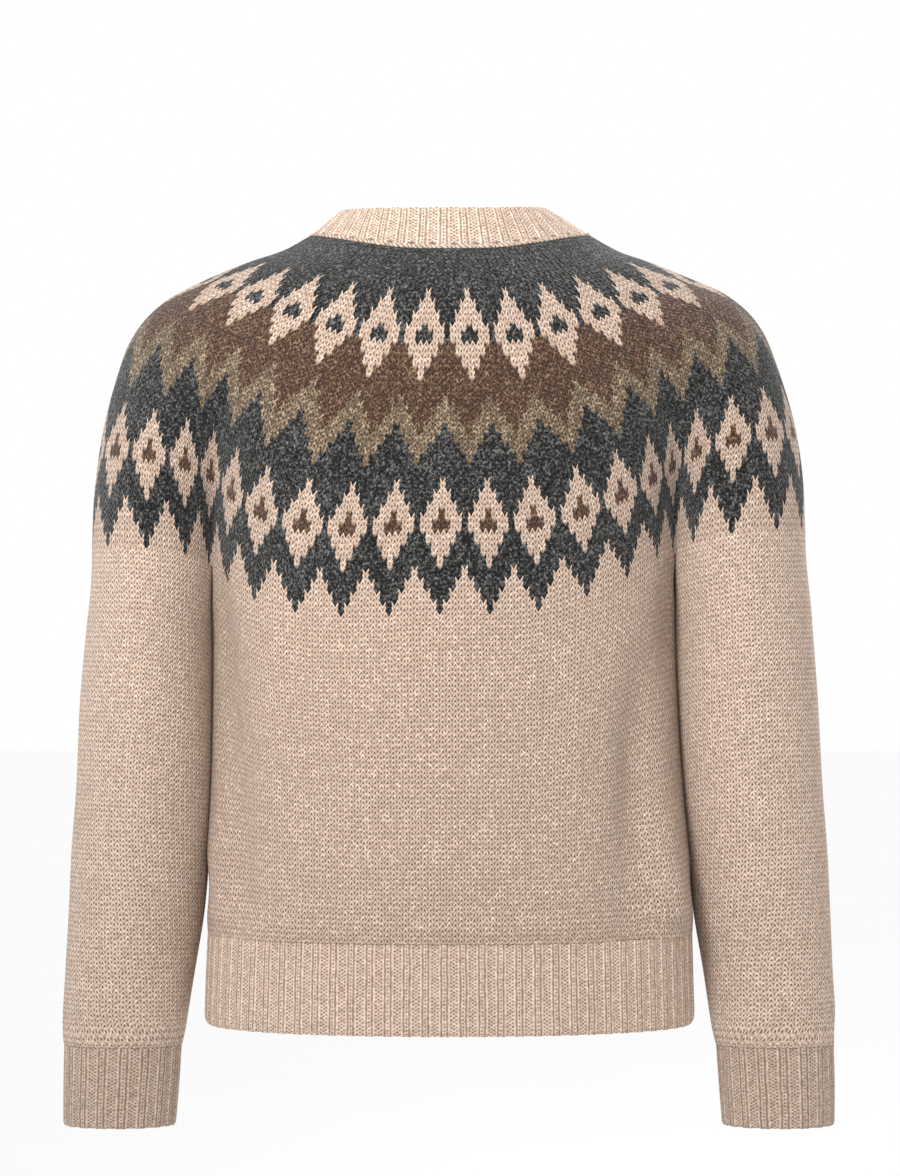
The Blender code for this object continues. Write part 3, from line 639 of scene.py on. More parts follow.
class KnitLooks(bpy.types.PropertyGroup):
    """Yarn colours and relief of the cloth."""

    beige_dark: bpy.props.FloatVectorProperty(
        name="Beige, shaded", description="Darker fibres of the main yarn",
        subtype="COLOR", size=3, min=0.0, max=1.0, default=(0.520, 0.378, 0.290))
    beige_light: bpy.props.FloatVectorProperty(
        name="Beige, lit", description="Lighter fibres of the main yarn",
        subtype="COLOR", size=3, min=0.0, max=1.0, default=(0.885, 0.680, 0.548))
    charcoal_dark: bpy.props.FloatVectorProperty(
        name="Charcoal, dark", description="Darker fibres of the grey yarn",
        subtype="COLOR", size=3, min=0.0, max=1.0, default=(0.004, 0.0042, 0.0042))
    charcoal_light: bpy.props.FloatVectorProperty(
        name="Charcoal, light", description="Lighter fibres of the grey yarn",
        subtype="COLOR", size=3, min=0.0, max=1.0, default=(0.185, 0.181, 0.174))
    brown_dark: bpy.props.FloatVectorProperty(
        name="Brown, dark", description="Darker fibres of the brown yarn",
        subtype="COLOR", size=3, min=0.0, max=1.0, default=(0.062, 0.030, 0.018))
    brown_light: bpy.props.FloatVectorProperty(
        name="Brown, light", description="Lighter fibres of the brown yarn",
        subtype="COLOR", size=3, min=0.0, max=1.0, default=(0.310, 0.185, 0.118))
    taupe_dark: bpy.props.FloatVectorProperty(
        name="Taupe, dark", description="Darker fibres of the taupe yarn",
        subtype="COLOR", size=3, min=0.0, max=1.0, default=(0.125, 0.085, 0.052))
    taupe_light: bpy.props.FloatVectorProperty(
        name="Taupe, light", description="Lighter fibres of the taupe yarn",
        subtype="COLOR", size=3, min=0.0, max=1.0, default=(0.520, 0.400, 0.270))
    relief: bpy.props.FloatProperty(
        name="Stitch relief", description="How far a stitch stands above its gaps",
        subtype="DISTANCE", unit="LENGTH", min=0.0, max=0.003, default=0.0007)
    cloth: bpy.props.FloatProperty(
        name="Cloth thickness", description="Thickness of the knitted cloth",
        subtype="DISTANCE", unit="LENGTH", min=0.001, max=0.004, default=0.0025)


class ButtonLooks(bpy.types.PropertyGroup):
    """Sizes and colour of the buttons."""

    colour: bpy.props.FloatVectorProperty(
        name="Horn", description="Main colour of the buttons",
        subtype="COLOR", size=3, min=0.0, max=1.0, default=(0.085, 0.045, 0.026))
    hole: bpy.props.FloatProperty(
        name="Hole radius", description="Radius of each of the four holes",
        subtype="DISTANCE", unit="LENGTH", min=0.0003, max=0.002, default=0.0010)


class StageLooks(bpy.types.PropertyGroup):
    """Floor and camera."""

    floor_z: bpy.props.FloatProperty(
        name="Floor height", description="Height of the floor below the neck",
        subtype="DISTANCE", unit="LENGTH", min=-3.0, max=-0.63, default=-0.90)
    distance: bpy.props.FloatProperty(
        name="Camera distance", description="Distance of the camera behind the garment",
        subtype="DISTANCE", unit="LENGTH", min=1.0, max=10.0, default=2.95)
    picture_height: bpy.props.FloatProperty(
        name="Picture height", description="Height that the picture covers at the garment",
        subtype="DISTANCE", unit="LENGTH", min=0.2, max=3.0, default=0.8232)
    middle_z: bpy.props.FloatProperty(
        name="Picture middle", description="Height of the picture's middle",
        subtype="DISTANCE", unit="LENGTH", min=-1.0, max=1.0, default=-0.2436)


class Nodes:
    """Adds nodes to one material, a call for each."""

    def __init__(self, name):
        self.material = bpy.data.materials.new(name)
        self.material.use_nodes = True
        self.tree = self.material.node_tree
        self.shader = self.tree.nodes["Principled BSDF"]

    def feed(self, socket, value):
        """Set a socket to a number or a colour, or link it."""
        if isinstance(value, bpy.types.NodeSocket):
            self.tree.links.new(value, socket)
        elif hasattr(value, "__len__") and len(value) == 3 and socket.type == "RGBA":
            socket.default_value = (*value, 1.0)
        else:
            socket.default_value = value

    def math(self, operation, *values, clamp=False):
        """A sum, product, comparison or other step on numbers."""
        node = self.tree.nodes.new("ShaderNodeMath")
        node.operation = operation
        node.use_clamp = clamp
        for socket, value in zip(node.inputs, values):
            self.feed(socket, value)
        return node.outputs[0]

    def ease(self, value, start, end):
        """A smooth step from 0 at start to 1 at end."""
        node = self.tree.nodes.new("ShaderNodeMapRange")
        node.interpolation_type = "SMOOTHSTEP"
        self.feed(node.inputs["Value"], value)
        node.inputs["From Min"].default_value = start
        node.inputs["From Max"].default_value = end
        return node.outputs["Result"]

    def blend(self, share, first, second, kind="MIX"):
        """One colour passing into another."""
        node = self.tree.nodes.new("ShaderNodeMix")
        node.data_type = "RGBA"
        node.blend_type = kind
        self.feed(node.inputs[0], share)
        self.feed(node.inputs[6], first)
        self.feed(node.inputs[7], second)
        return node.outputs[2]

    def noise(self, vector, scale, detail=2.0, roughness=0.5):
        """Soft noise from 0 to 1."""
        node = self.tree.nodes.new("ShaderNodeTexNoise")
        self.tree.links.new(vector, node.inputs["Vector"])
        node.inputs["Scale"].default_value = scale
        node.inputs["Detail"].default_value = detail
        node.inputs["Roughness"].default_value = roughness
        return node.outputs["Fac"]

    def place(self):
        """The point in the object's own space."""
        return self.tree.nodes.new("ShaderNodeTexCoord").outputs["Object"]

    def knit(self):
        """The column and row of the knitting, from the UV map."""
        uv_map = self.tree.nodes.new("ShaderNodeUVMap")
        uv_map.uv_map = "Knit"
        split = self.tree.nodes.new("ShaderNodeSeparateXYZ")
        self.tree.links.new(uv_map.outputs["UV"], split.inputs["Vector"])
        return split.outputs["X"], split.outputs["Y"]

    def join(self, x, y, z=0.0):
        """A vector from three numbers."""
        node = self.tree.nodes.new("ShaderNodeCombineXYZ")
        for socket, value in zip(node.inputs, (x, y, z)):
            self.feed(socket, value)
        return node.outputs["Vector"]

    def random(self, vector):
        """A number from 0 to 1 for each whole place."""
        node = self.tree.nodes.new("ShaderNodeTexWhiteNoise")
        node.noise_dimensions = "2D"
        self.tree.links.new(vector, node.inputs["Vector"])
        return node.outputs["Value"]

    def bump(self, height, distance, strength=1.0):
        """Relief of the surface."""
        node = self.tree.nodes.new("ShaderNodeBump")
        node.inputs["Strength"].default_value = strength
        node.inputs["Distance"].default_value = distance
        self.feed(node.inputs["Height"], height)
        self.tree.links.new(node.outputs["Normal"], self.shader.inputs["Normal"])


def section_columns(nodes, column, row):
    """Stitch columns of the yoke, which has fewer stitches nearer the neck."""
    share = PLAIN_STITCHES / FULL_STITCHES
    for first_row, before, after in (
        (8.5, PLAIN_STITCHES, UPPER_STITCHES),
        (26.0, UPPER_STITCHES, ZIGZAG_STITCHES),
        (43.5, ZIGZAG_STITCHES, FULL_STITCHES),
    ):
        step = nodes.math("GREATER_THAN", row, first_row)
        share = nodes.math("MULTIPLY_ADD", step, (after - before) / FULL_STITCHES, share)
    lean = nodes.math("MULTIPLY_ADD", row, 0.019, 0.45)
    lean = nodes.math("MINIMUM", lean, 1.6)
    return nodes.math("MULTIPLY", nodes.math("SUBTRACT", column, lean), share)


def diamond(nodes, row, away, first_row, bar_rows):
    """Where a diamond is, and where the small motif in it is."""
    step = nodes.math("SUBTRACT", row, first_row)
    tent = nodes.math("ABSOLUTE", nodes.math("SUBTRACT", step, 7.0))
    tent = nodes.math("SUBTRACT", 7.5, tent)
    inside = nodes.math("GREATER_THAN", tent, nodes.math("MULTIPLY", away, 2.0))
    foot = nodes.math("LESS_THAN", nodes.math("ABSOLUTE", nodes.math("SUBTRACT", step, 7.5)), 1.0)
    foot = nodes.math("MULTIPLY", foot, nodes.math("LESS_THAN", away, 1.5))
    middle = 6.5 - bar_rows / 2
    bar = nodes.math("ABSOLUTE", nodes.math("SUBTRACT", step, middle))
    bar = nodes.math("LESS_THAN", bar, bar_rows / 2)
    bar = nodes.math("MULTIPLY", bar, nodes.math("LESS_THAN", away, 0.5))
    return inside, nodes.math("MAXIMUM", foot, bar)


def yoke_chart(nodes, column, row):
    """Steps of the colour chart: where each one lies, and its yarn."""
    away = nodes.math("PINGPONG", column, 4.0)
    across = nodes.math("SUBTRACT", 4.0, away)
    twice = nodes.math("MULTIPLY", away, 2.0)
    twice_across = nodes.math("MULTIPLY", across, 2.0)
    upper, upper_motif = diamond(nodes, row, across, 10.0, 1)
    lower, lower_motif = diamond(nodes, row, away, 45.0, 2)
    return (
        (nodes.math("GREATER_THAN", row, 18.5), "brown"),
        (nodes.math("GREATER_THAN", nodes.math("SUBTRACT", row, 27.5), twice), "taupe"),
        (nodes.math("GREATER_THAN", nodes.math("SUBTRACT", row, 33.5), twice), "charcoal"),
        (nodes.math("GREATER_THAN", nodes.math("SUBTRACT", row, 59.5), twice_across), "beige"),
        (upper, "beige"),
        (upper_motif, "charcoal"),
        (lower, "beige"),
        (lower_motif, "brown"),
    )


def yarn_colour(nodes, looks, ground, chart, shade):
    """Colour of the yarn, between its dark and its light fibres."""
    if ground == "charcoal":
        shade = nodes.math("POWER", shade, 2.5)
    ends = []
    for end in ("dark", "light"):
        colour = tuple(getattr(looks, ground + "_" + end))
        for inside, yarn in chart:
            colour = nodes.blend(inside, colour, tuple(getattr(looks, yarn + "_" + end)))
        ends.append(colour)
    return nodes.blend(shade, *ends)


def fibre_shade(nodes, stitch, chart_row):
    """How light the fibres are, from fine fluff, whole stitches and broad patches."""
    place = nodes.place()
    fluff = nodes.noise(place, 500.0, 3.0, 0.75)
    fluff = nodes.math("MULTIPLY_ADD", fluff, 4.2, -1.65)
    whole = nodes.random(nodes.join(stitch, chart_row))
    whole = nodes.math("MULTIPLY_ADD", whole, 0.26, -0.13)
    broad = nodes.noise(place, 28.0, 2.0)
    broad = nodes.math("MULTIPLY_ADD", broad, 0.24, -0.12)
    return nodes.math("ADD", nodes.math("ADD", fluff, whole), broad, clamp=True)


def finish_wool(nodes, colour, height, gap, relief, tone=1.0):
    """Shading of wool: matt, softly lit at its edges, with painted shade in the gaps between its
    stitches and painted light on their raised parts.
    """
    # Painted light and shade: the colour is darkened in the gaps between stitches and is lighter on
    # the high parts of a stitch than on its low parts; tone darkens all of it as painted shade.
    dark = nodes.math("MULTIPLY_ADD", gap, -PAINTED_GAP_SHADE, 1.0)
    shaded = nodes.math("MULTIPLY_ADD", height, 0.34 * tone, 0.74 * tone)
    shaded = nodes.math("MULTIPLY", shaded, dark)
    grey = nodes.join(shaded, shaded, shaded)
    colour = nodes.blend(1.0, colour, grey, "MULTIPLY")
    nodes.feed(nodes.shader.inputs["Base Color"], colour)
    nodes.shader.inputs["Roughness"].default_value = WOOL_ROUGHNESS
    nodes.shader.inputs["Specular IOR Level"].default_value = 0.18
    nodes.shader.inputs["Sheen Weight"].default_value = WOOL_SHEEN
    nodes.shader.inputs["Sheen Roughness"].default_value = 0.45
    fluff = nodes.noise(nodes.place(), 1400.0, 2.0, 0.6)
    total = nodes.math("SUBTRACT", height, nodes.math("MULTIPLY", gap, 0.8))
    total = nodes.math("MULTIPLY_ADD", fluff, 0.4, total)
    nodes.bump(total, relief)


def stitch_wobble(nodes, column, row):
    """Columns and rows a little uneven, as knitting is."""
    place = nodes.place()
    column = nodes.math("MULTIPLY_ADD", nodes.noise(place, 70.0, 1.0), 0.36, column)
    row = nodes.math("MULTIPLY_ADD", nodes.noise(place, 90.0, 1.0), 0.5, row)
    return nodes.math("SUBTRACT", column, 0.18), nodes.math("SUBTRACT", row, 0.25)


def spot(nodes, across, down, size):
    """A soft spot for the painted shade of a hole: 1 at its middle and 0 beyond its size."""
    far = nodes.math("ADD", nodes.math("MULTIPLY", across, across),
                     nodes.math("MULTIPLY", down, down))
    return nodes.math("SUBTRACT", 1.0, nodes.ease(far, 0.15 * size, size))


def stitch_legs(nodes, column, row):
    """The two leaning legs of each stitch.

    Gives the whole number of the stitch's row, the height of the leg and how deep the
    gap beside it is. Height and gap also carry the painted light and shade of the colour.
    """
    side = nodes.math("PINGPONG", nodes.math("ADD", column, 0.5), 0.5)
    side = nodes.math("SUBTRACT", 1.0, nodes.math("MULTIPLY", side, 2.0))
    rise = nodes.ease(side, -0.12, 1.12)
    along = nodes.math("ADD", row, nodes.math("MULTIPLY_ADD", rise, 0.85, -0.40))
    whole = nodes.math("FLOOR", along)
    phase = nodes.math("MULTIPLY_ADD", along, 2 * math.pi, -2 * math.pi * 0.27)
    arch = nodes.math("MULTIPLY_ADD", nodes.math("COSINE", phase), 0.5, 0.5)
    arch = nodes.math("MULTIPLY", arch, nodes.math("MULTIPLY_ADD", side, 0.5, 0.5))
    under = nodes.math("PINGPONG", nodes.math("ADD", along, 0.34), 0.5)
    under = nodes.math("MULTIPLY", under, 3.6)
    outer = nodes.math("MULTIPLY", nodes.math("SUBTRACT", 1.0, side), 3.4)
    # Holes at the foot of each leg and slits between the legs get painted shade
    hole = spot(nodes, outer, under, 1.0)
    between = nodes.math("PINGPONG", nodes.math("ADD", along, 0.22), 0.5)
    between = nodes.math("MULTIPLY", between, 2.5)
    slit = spot(nodes, nodes.math("MULTIPLY", side, 3.8), between, 1.0)
    gap = nodes.math("MAXIMUM", hole, nodes.math("MULTIPLY", slit, 0.75))
    return whole, arch, gap


def plain_material(name, looks, charted):
    """Plain knitting, in one yarn or in the yoke's chart of yarns."""
    nodes = Nodes(name)
    column, row = nodes.knit()
    if charted:
        column = section_columns(nodes, column, row)
    column, row = stitch_wobble(nodes, column, row)
    stitch = nodes.math("FLOOR", nodes.math("ADD", column, 0.5))
    whole, height, gap = stitch_legs(nodes, column, row)
    chart = yoke_chart(nodes, stitch, whole) if charted else ()
    ground = "charcoal" if charted else "beige"
    shade = fibre_shade(nodes, stitch, whole)
    colour = yarn_colour(nodes, looks, ground, chart, shade)
    finish_wool(nodes, colour, height, gap, looks.relief)
    return nodes.material


def purl_bumps(nodes, across, row):
    """Height of the small interlocked bumps of purled stitches, low where the painted shade of the
    dots falls.
    """
    across = nodes.math("SINE", nodes.math("MULTIPLY", across, math.pi))
    down = nodes.math("COSINE", nodes.math("MULTIPLY", row, 2 * math.pi))
    return nodes.math("MULTIPLY_ADD", nodes.math("MULTIPLY", across, down), 0.5, 0.5)


def reverse_material(name, looks, charted):
    """The purled inside of the cloth."""
    nodes = Nodes(name)
    column, row = nodes.knit()
    if charted:
        column = section_columns(nodes, column, row)
    stitch = nodes.math("FLOOR", nodes.math("ADD", column, 0.5))
    whole = nodes.math("FLOOR", row)
    chart = yoke_chart(nodes, stitch, whole) if charted else ()
    ground = "charcoal" if charted else "beige"
    colour = yarn_colour(nodes, looks, ground, chart, fibre_shade(nodes, stitch, whole))
    height = purl_bumps(nodes, nodes.math("MULTIPLY", column, 2.0), row)
    # Painted shade between the purl bumps
    gap = nodes.math("SUBTRACT", 1.0, nodes.ease(height, 0.05, 0.4))
    finish_wool(nodes, colour, height, nodes.math("MULTIPLY", gap, 0.6), looks.relief)
    return nodes.material


def chain_relief(nodes, column, row, within, chain_row):
    """Slanted loops that link the neckband on, and the holes just above them, for relief and painted
    shade.
    """
    inside = nodes.math("GREATER_THAN", row, chain_row)
    slant = nodes.math("MULTIPLY_ADD", row, 0.55, nodes.math("MULTIPLY", column, 1.12))
    loops = nodes.math("SINE", nodes.math("MULTIPLY", slant, 2 * math.pi))
    loops = nodes.math("MULTIPLY_ADD", loops, 0.5, 0.5)
    above = nodes.math("MULTIPLY", nodes.math("SUBTRACT", row, chain_row - 0.35), 2.0)
    field = nodes.math("MULTIPLY", nodes.math("SUBTRACT", within, 3.0), 1.9)
    holes = spot(nodes, field, above, 1.0)
    wale = nodes.math("PINGPONG", nodes.math("SUBTRACT", within, 0.5), 0.5)
    small = spot(nodes, nodes.math("MULTIPLY", wale, 4.0), above, 1.0)
    holes = nodes.math("MAXIMUM", holes, nodes.math("MULTIPLY", small, 0.7))
    return inside, loops, holes


def rib_material(name, looks, tone=1.0, chain_row=None):
    """Two-by-two rib: two knitted columns, then two purled ones."""
    nodes = Nodes(name)
    column, row = nodes.knit()
    place = nodes.place()
    row = nodes.math("MULTIPLY_ADD", nodes.noise(place, 90.0, 1.0), 0.6, row)
    column = nodes.math("MULTIPLY_ADD", nodes.noise(place, 60.0, 1.0), 0.30, column)
    column = nodes.math("SUBTRACT", column, 0.15)
    within = nodes.math("FLOORED_MODULO", column, float(RIB_STITCHES))
    purled = nodes.ease(within, 1.98, 2.10)
    purled = nodes.math("MULTIPLY", purled, nodes.ease(within, 4.0, 3.92))
    knitted = nodes.math("SUBTRACT", 1.0, purled)
    stitch = nodes.math("FLOOR", column)
    whole, arch, hole = stitch_legs(nodes, nodes.math("SUBTRACT", column, 0.5), row)
    off_middle = nodes.math("ABSOLUTE", nodes.math("SUBTRACT", within, 1.0))
    outer = nodes.ease(off_middle, 0.5, 0.62)
    # A groove beside each knitted column: a dip in the relief, and painted shade
    groove = nodes.math("ABSOLUTE", nodes.math("SUBTRACT", off_middle, 0.52))
    groove = nodes.math("SUBTRACT", 1.0, nodes.ease(groove, 0.06, 0.24))
    arch = nodes.math("MULTIPLY_ADD", arch, 0.45, 0.55)
    height = nodes.math("MULTIPLY", nodes.math("MAXIMUM", arch, outer), 0.8)
    gap = nodes.math("MULTIPLY", hole, nodes.math("SUBTRACT", 1.0, outer))
    gap = nodes.math("MAXIMUM", gap, nodes.math("MULTIPLY", groove, 0.70))
    across = nodes.math("MULTIPLY", nodes.math("SUBTRACT", within, 2.0), 1.5)
    bumps = purl_bumps(nodes, across, row)
    # Painted shade of the dots between the purl bumps
    dots = nodes.math("SUBTRACT", 1.0, nodes.ease(bumps, 0.04, 0.34))
    height = nodes.math("ADD", nodes.math("MULTIPLY", height, knitted),
                        nodes.math("MULTIPLY", bumps, nodes.math("MULTIPLY", purled, 0.75)))
    gap = nodes.math("ADD", nodes.math("MULTIPLY", gap, knitted),
                     nodes.math("MULTIPLY", nodes.math("MULTIPLY", dots, 0.85), purled))
    if chain_row is not None:
        inside, loops, holes = chain_relief(nodes, column, row, within, chain_row)
        outside = nodes.math("SUBTRACT", 1.0, inside)
        height = nodes.math("ADD", nodes.math("MULTIPLY", height, outside),
                            nodes.math("MULTIPLY", loops, inside))
        gap = nodes.math("MAXIMUM", gap, holes)
        # Painted shade between the chain's loops
        chain_gap = nodes.math("SUBTRACT", 1.0, nodes.ease(loops, 0.0, 0.35))
        chain_gap = nodes.math("MULTIPLY", chain_gap, nodes.math("MULTIPLY", inside, 0.6))
        gap = nodes.math("ADD", nodes.math("MULTIPLY", gap, outside), chain_gap)
    shade = fibre_shade(nodes, stitch, whole)
    colour = yarn_colour(nodes, looks, "beige", (), shade)
    # tone is painted shade over the colour of the whole rib
    finish_wool(nodes, colour, height, gap, RIB_RELIEF * looks.relief, tone)
    return nodes.material


def horn_material(name, looks):
    """Dark horn with paler streaks."""
    nodes = Nodes(name)
    place = nodes.place()
    streaks = nodes.noise(place, 160.0, 4.0, 0.6)
    streaks = nodes.ease(streaks, 0.35, 0.75)
    dark = tuple(looks.colour)
    pale = tuple(min(1.0, 0.05 + 2.6 * part) for part in dark)
    nodes.feed(nodes.shader.inputs["Base Color"], nodes.blend(streaks, dark, pale))
    rough = nodes.math("MULTIPLY_ADD", streaks, 0.15, 0.28)
    nodes.feed(nodes.shader.inputs["Roughness"], rough)
    nodes.bump(nodes.noise(place, 700.0, 2.0), 0.00008)
    return nodes.material


def thread_material(name, looks):
    """Twisted sewing thread."""
    nodes = Nodes(name)
    place = nodes.place()
    strands = nodes.noise(place, 2600.0, 1.0)
    colour = nodes.blend(strands, tuple(looks.beige_dark), tuple(looks.beige_light))
    nodes.feed(nodes.shader.inputs["Base Color"], colour)
    nodes.shader.inputs["Roughness"].default_value = 0.7
    nodes.bump(strands, 0.0002)
    return nodes.material


def floor_material(name):
    """A plain pale floor."""
    nodes = Nodes(name)
    tone = nodes.noise(nodes.place(), 3.0, 2.0)
    colour = nodes.blend(tone, (0.95, 0.95, 0.95), (0.97, 0.97, 0.97))
    nodes.feed(nodes.shader.inputs["Base Color"], colour)
    nodes.shader.inputs["Roughness"].default_value = 0.9
    return nodes.material


def shared_material(name, maker, *values):
    """A material by its name, made the first time it is asked for."""
    return bpy.data.materials.get(name) or maker(name, *values)


def plain_faces(charted=False):
    """The right side and the inside of plain knitting."""
    looks = bpy.context.scene.cardigan_knit
    if charted:
        return (shared_material("charted_knitting", plain_material, looks, True),
                shared_material("charted_reverse", reverse_material, looks, True))
    return (shared_material("plain_knitting", plain_material, looks, False),
            shared_material("plain_reverse_side", reverse_material, looks, False))


def rib_faces(place):
    """The right side and the inside of rib, which look alike. Each place's rib gets its own painted
    shade, lower ribs darker.
    """
    looks = bpy.context.scene.cardigan_knit
    tone, chain_row = RIB_PAINTED_SHADES[place]
    rib = shared_material(place + "_ribbing", rib_material, looks, tone, chain_row)
    return rib, rib


def add_piece(name, builder, materials):
    """A named piece from a finished bmesh, riding on the garment."""
    mesh = bpy.data.meshes.new(name)
    for face in builder.faces:
        face.smooth = True
    for edge in builder.edges:
        if edge.is_boundary:
            edge.smooth = False
    builder.to_mesh(mesh)
    builder.free()
    for material in materials:
        mesh.materials.append(material)
    piece = bpy.data.objects.new(name, mesh)
    bpy.context.scene.collection.objects.link(piece)
    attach(piece, "root")
    return piece


def knit_grid(points, knit, closed, dropped=None):
    """A bmesh grid moved to the given points, with its knit coordinates as its UV map."""
    rows, across = points.shape[:2]
    builder = bmesh.new()
    layer = builder.loops.layers.uv.new("Knit")
    bmesh.ops.create_grid(builder, x_segments=across - 1, y_segments=rows - 1, size=0.5,
                          calc_uvs=True)
    for vertex in builder.verts:
        column = round((vertex.co.x + 0.5) * (across - 1))
        row = round((vertex.co.y + 0.5) * (rows - 1))
        vertex.co = points[row, column]
    for face in builder.faces:
        for loop in face.loops:
            place = loop[layer].uv
            column = round(place.x * (across - 1))
            row = round(place.y * (rows - 1))
            place.x, place.y = knit[row, column]
    if dropped is not None:
        unwanted = [face for face in builder.faces if dropped(face, layer)]
        bmesh.ops.delete(builder, geom=unwanted, context="FACES")
    if closed:
        seam = [vertex for vertex in builder.verts if vertex.is_boundary]
        bmesh.ops.remove_doubles(builder, verts=seam, dist=0.00001)
    return builder


def add_knit(name, points, knit, faces, closed=False, thickness=None, dropped=None):
    """A piece of knitted cloth from its outer points, with its thickness inwards."""
    piece = add_piece(name, knit_grid(points, knit, closed, dropped), faces)
    wall = piece.modifiers.new("Cloth", "SOLIDIFY")
    wall.thickness = thickness or bpy.context.scene.cardigan_knit.cloth
    wall.offset = -1.0
    wall.material_offset = 1
    wall.material_offset_rim = 0
    return piece


def knit_places(columns, rows):
    """Grid of knit coordinates from lists of columns and rows."""
    return np.stack(np.meshgrid(columns, rows), axis=-1)


def front_edged(points_at, levels, columns, half):
    """Points and columns of rounds whose ends are drawn in to the front edges."""
    grid = []
    kept = []
    for level in levels:
        line = np.array(columns, dtype=float)
        for sign, edge in ((-1, RIGHT_EDGE), (1, LEFT_EDGE)):
            if sign * line[-1 if sign > 0 else 0] < half - 1e-6:
                continue
            start = half - DRAWN_IN
            end = abs(edge_column(points_at, level, edge, half))
            away = sign * line
            moved = start + (away - start) * (end - start) / (half - start)
            line = np.where(away > start, sign * moved, line)
        grid.append(points_at((level,), line)[0])
        kept.append(line)
    return np.array(grid), np.array(kept)


def rib_columns(count):
    """Places across a row of ribs: share of the whole, stitches and height."""
    places = []
    for rib in range(count):
        for share, stitch, height in RIB_PROFILE:
            places.append(((rib + share) / count, rib * RIB_STITCHES + stitch, height))
    share, stitch, height = RIB_PROFILE[0]
    places.append((1.0, count * RIB_STITCHES, height))
    return np.array(places).T


def rib_grid(points_at, levels, first, last, ribs, length, closed, half=None, free_end=True):
    """Points and knit coordinates of a rib between two columns.

    The free edge, at its last level or else its first, is a little scalloped.
    """
    share, stitches, heights = rib_columns(ribs)
    columns = first + (last - first) * share
    if half is not None:
        grid, _ = front_edged(points_at, levels, columns, half)
    else:
        grid = points_at(levels, columns)
    normals = grid_normals(grid, False)
    if closed:
        normals[:, 0] = normals[:, -1] = (normals[:, 0] + normals[:, -1]) / 2
        normals /= np.linalg.norm(normals, axis=2, keepdims=True)
    levels = np.asarray(levels)
    grid = grid + normals * heights[None, :, None]
    if free_end:
        scallop = -0.3 * SCALLOP * (1.0 + heights / RIB_DEPTH)
        grid[:, :, 2] += ease(0.75, 1.0, levels)[:, None] * scallop
    else:
        scallop = -SCALLOP * (0.5 + heights / RIB_DEPTH)
        grid[:, :, 2] += ease(0.75, 1.0, 1.0 - levels)[:, None] * scallop
    knit = knit_places(stitches, levels * length / RIB_ROW)
    return grid, knit


def make_yoke():
    """The charted yoke."""
    columns = np.arange(-2 * QUARTER, 2 * QUARTER + 1, 1.0)
    rows = np.arange(0, YOKE_ROWS + 1, 1.0)
    points, kept = front_edged(yoke_points, rows, columns, 2 * QUARTER)
    knit = drawn_places(kept, np.repeat(rows[:, None], len(columns), axis=1))
    piece = add_knit("yoke_knit", points, knit, plain_faces(True))
    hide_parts("yoke")


def make_panel(name, node, first, last):
    """One plain panel of the body, from the yoke to the hem."""
    count = int(abs(last - first)) + 1
    columns = np.linspace(first, last, count)
    depths = np.linspace(0.0, 1.0, BODY_ROWS + 8)
    if abs(first) == BODY_HALF or abs(last) == BODY_HALF:
        points, kept = front_edged(body_points, depths, columns, BODY_HALF)
    else:
        points = body_points(depths, columns)
        kept = np.repeat(columns[None, :], len(depths), axis=0)
    points = pressed(points, columns)
    rows = np.repeat((YOKE_ROWS + BODY_ROWS * depths)[:, None], count, axis=1)
    knit = drawn_places(kept, rows)
    piece = add_knit(name, points, knit, plain_faces(node == "back"))
    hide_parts(node)


def drawn_places(columns, rows):
    """Knit coordinates of grid places, drawn towards the creases as in worn cloth."""
    table = np.array(DRAWN_COLUMNS)
    away = np.abs(columns)
    over = away > QUARTER
    near = np.where(over, 2 * QUARTER - away, away)
    left = np.interp(near, table[:, 0], table[:, 1])
    right = np.interp(near, table[:, 0], table[:, 2])
    drawn = np.where(columns > 0, left, right)
    drawn = np.where(over, 2 * QUARTER - drawn, drawn)
    share = ease(18.0, 45.0, rows) * (1.0 - ease(70.0, 125.0, rows))
    drawn = np.sign(columns) * (away + (drawn - away) * share)
    table = np.array(DRAWN_ROWS)
    sunk = np.interp(away, table[:, 0], table[:, 1]) * ease(25.0, 48.0, rows)
    risen = np.interp(away, table[:, 0], table[:, 2]) * ease(54.0, 66.0, rows)
    shift = np.where(columns > 0, -sunk, risen) * (1.0 - ease(75.0, 110.0, rows))
    return np.stack((drawn, rows + shift), axis=-1)


def pressed(grid, columns):
    """Body points with the small dents, and the sides filled out to the sleeves."""
    normals = grid_normals(grid, False)
    columns = np.asarray(columns)[None, :]
    height = grid[:, :, 2]
    lift = np.zeros(height.shape)
    for column, middle, wide, tall, rise in BODY_DENTS:
        across = np.exp(-0.5 * ((columns - column) / wide) ** 2)
        lift += rise * across * np.exp(-0.5 * ((height - middle) / tall) ** 2)
    sides = np.exp(-((np.abs(columns) - SIDE_SEAM) / 8.0) ** 2)
    lift += SIDE_FILL * sides * ease(-0.455, -0.425, height) * (1 - ease(-0.26, -0.235, height))
    return grid + normals * lift[:, :, None]


def rolled(grid, levels, columns, reach, inset, side_inset=0.0):
    """Rib points whose free edge rolls in, more so at the sides."""
    share = np.clip((np.asarray(levels) - 1.0 + reach) / reach, 0.0, 1.0)
    share = 1.0 - np.sqrt(1.0 - share ** 2)
    sides = np.exp(-((np.abs(columns) - SIDE_SEAM) / 7.0) ** 2)
    way = inset + side_inset * sides
    return grid - grid_normals(grid, False) * (share[:, None] * way[None, :])[:, :, None]


def dented(side, grid, columns):
    """Sleeve points with the small dents pressed in."""
    normals = grid_normals(grid, False)
    for dent_side, column, height, wide, tall, depth in SLEEVE_DENTS:
        if dent_side == side:
            across = np.exp(-0.5 * ((np.asarray(columns)[None, :] - column) / wide) ** 2)
            down = np.exp(-0.5 * ((grid[:, :, 2] - height) / tall) ** 2)
            grid = grid - normals * (across * down * depth)[:, :, None]
    return grid


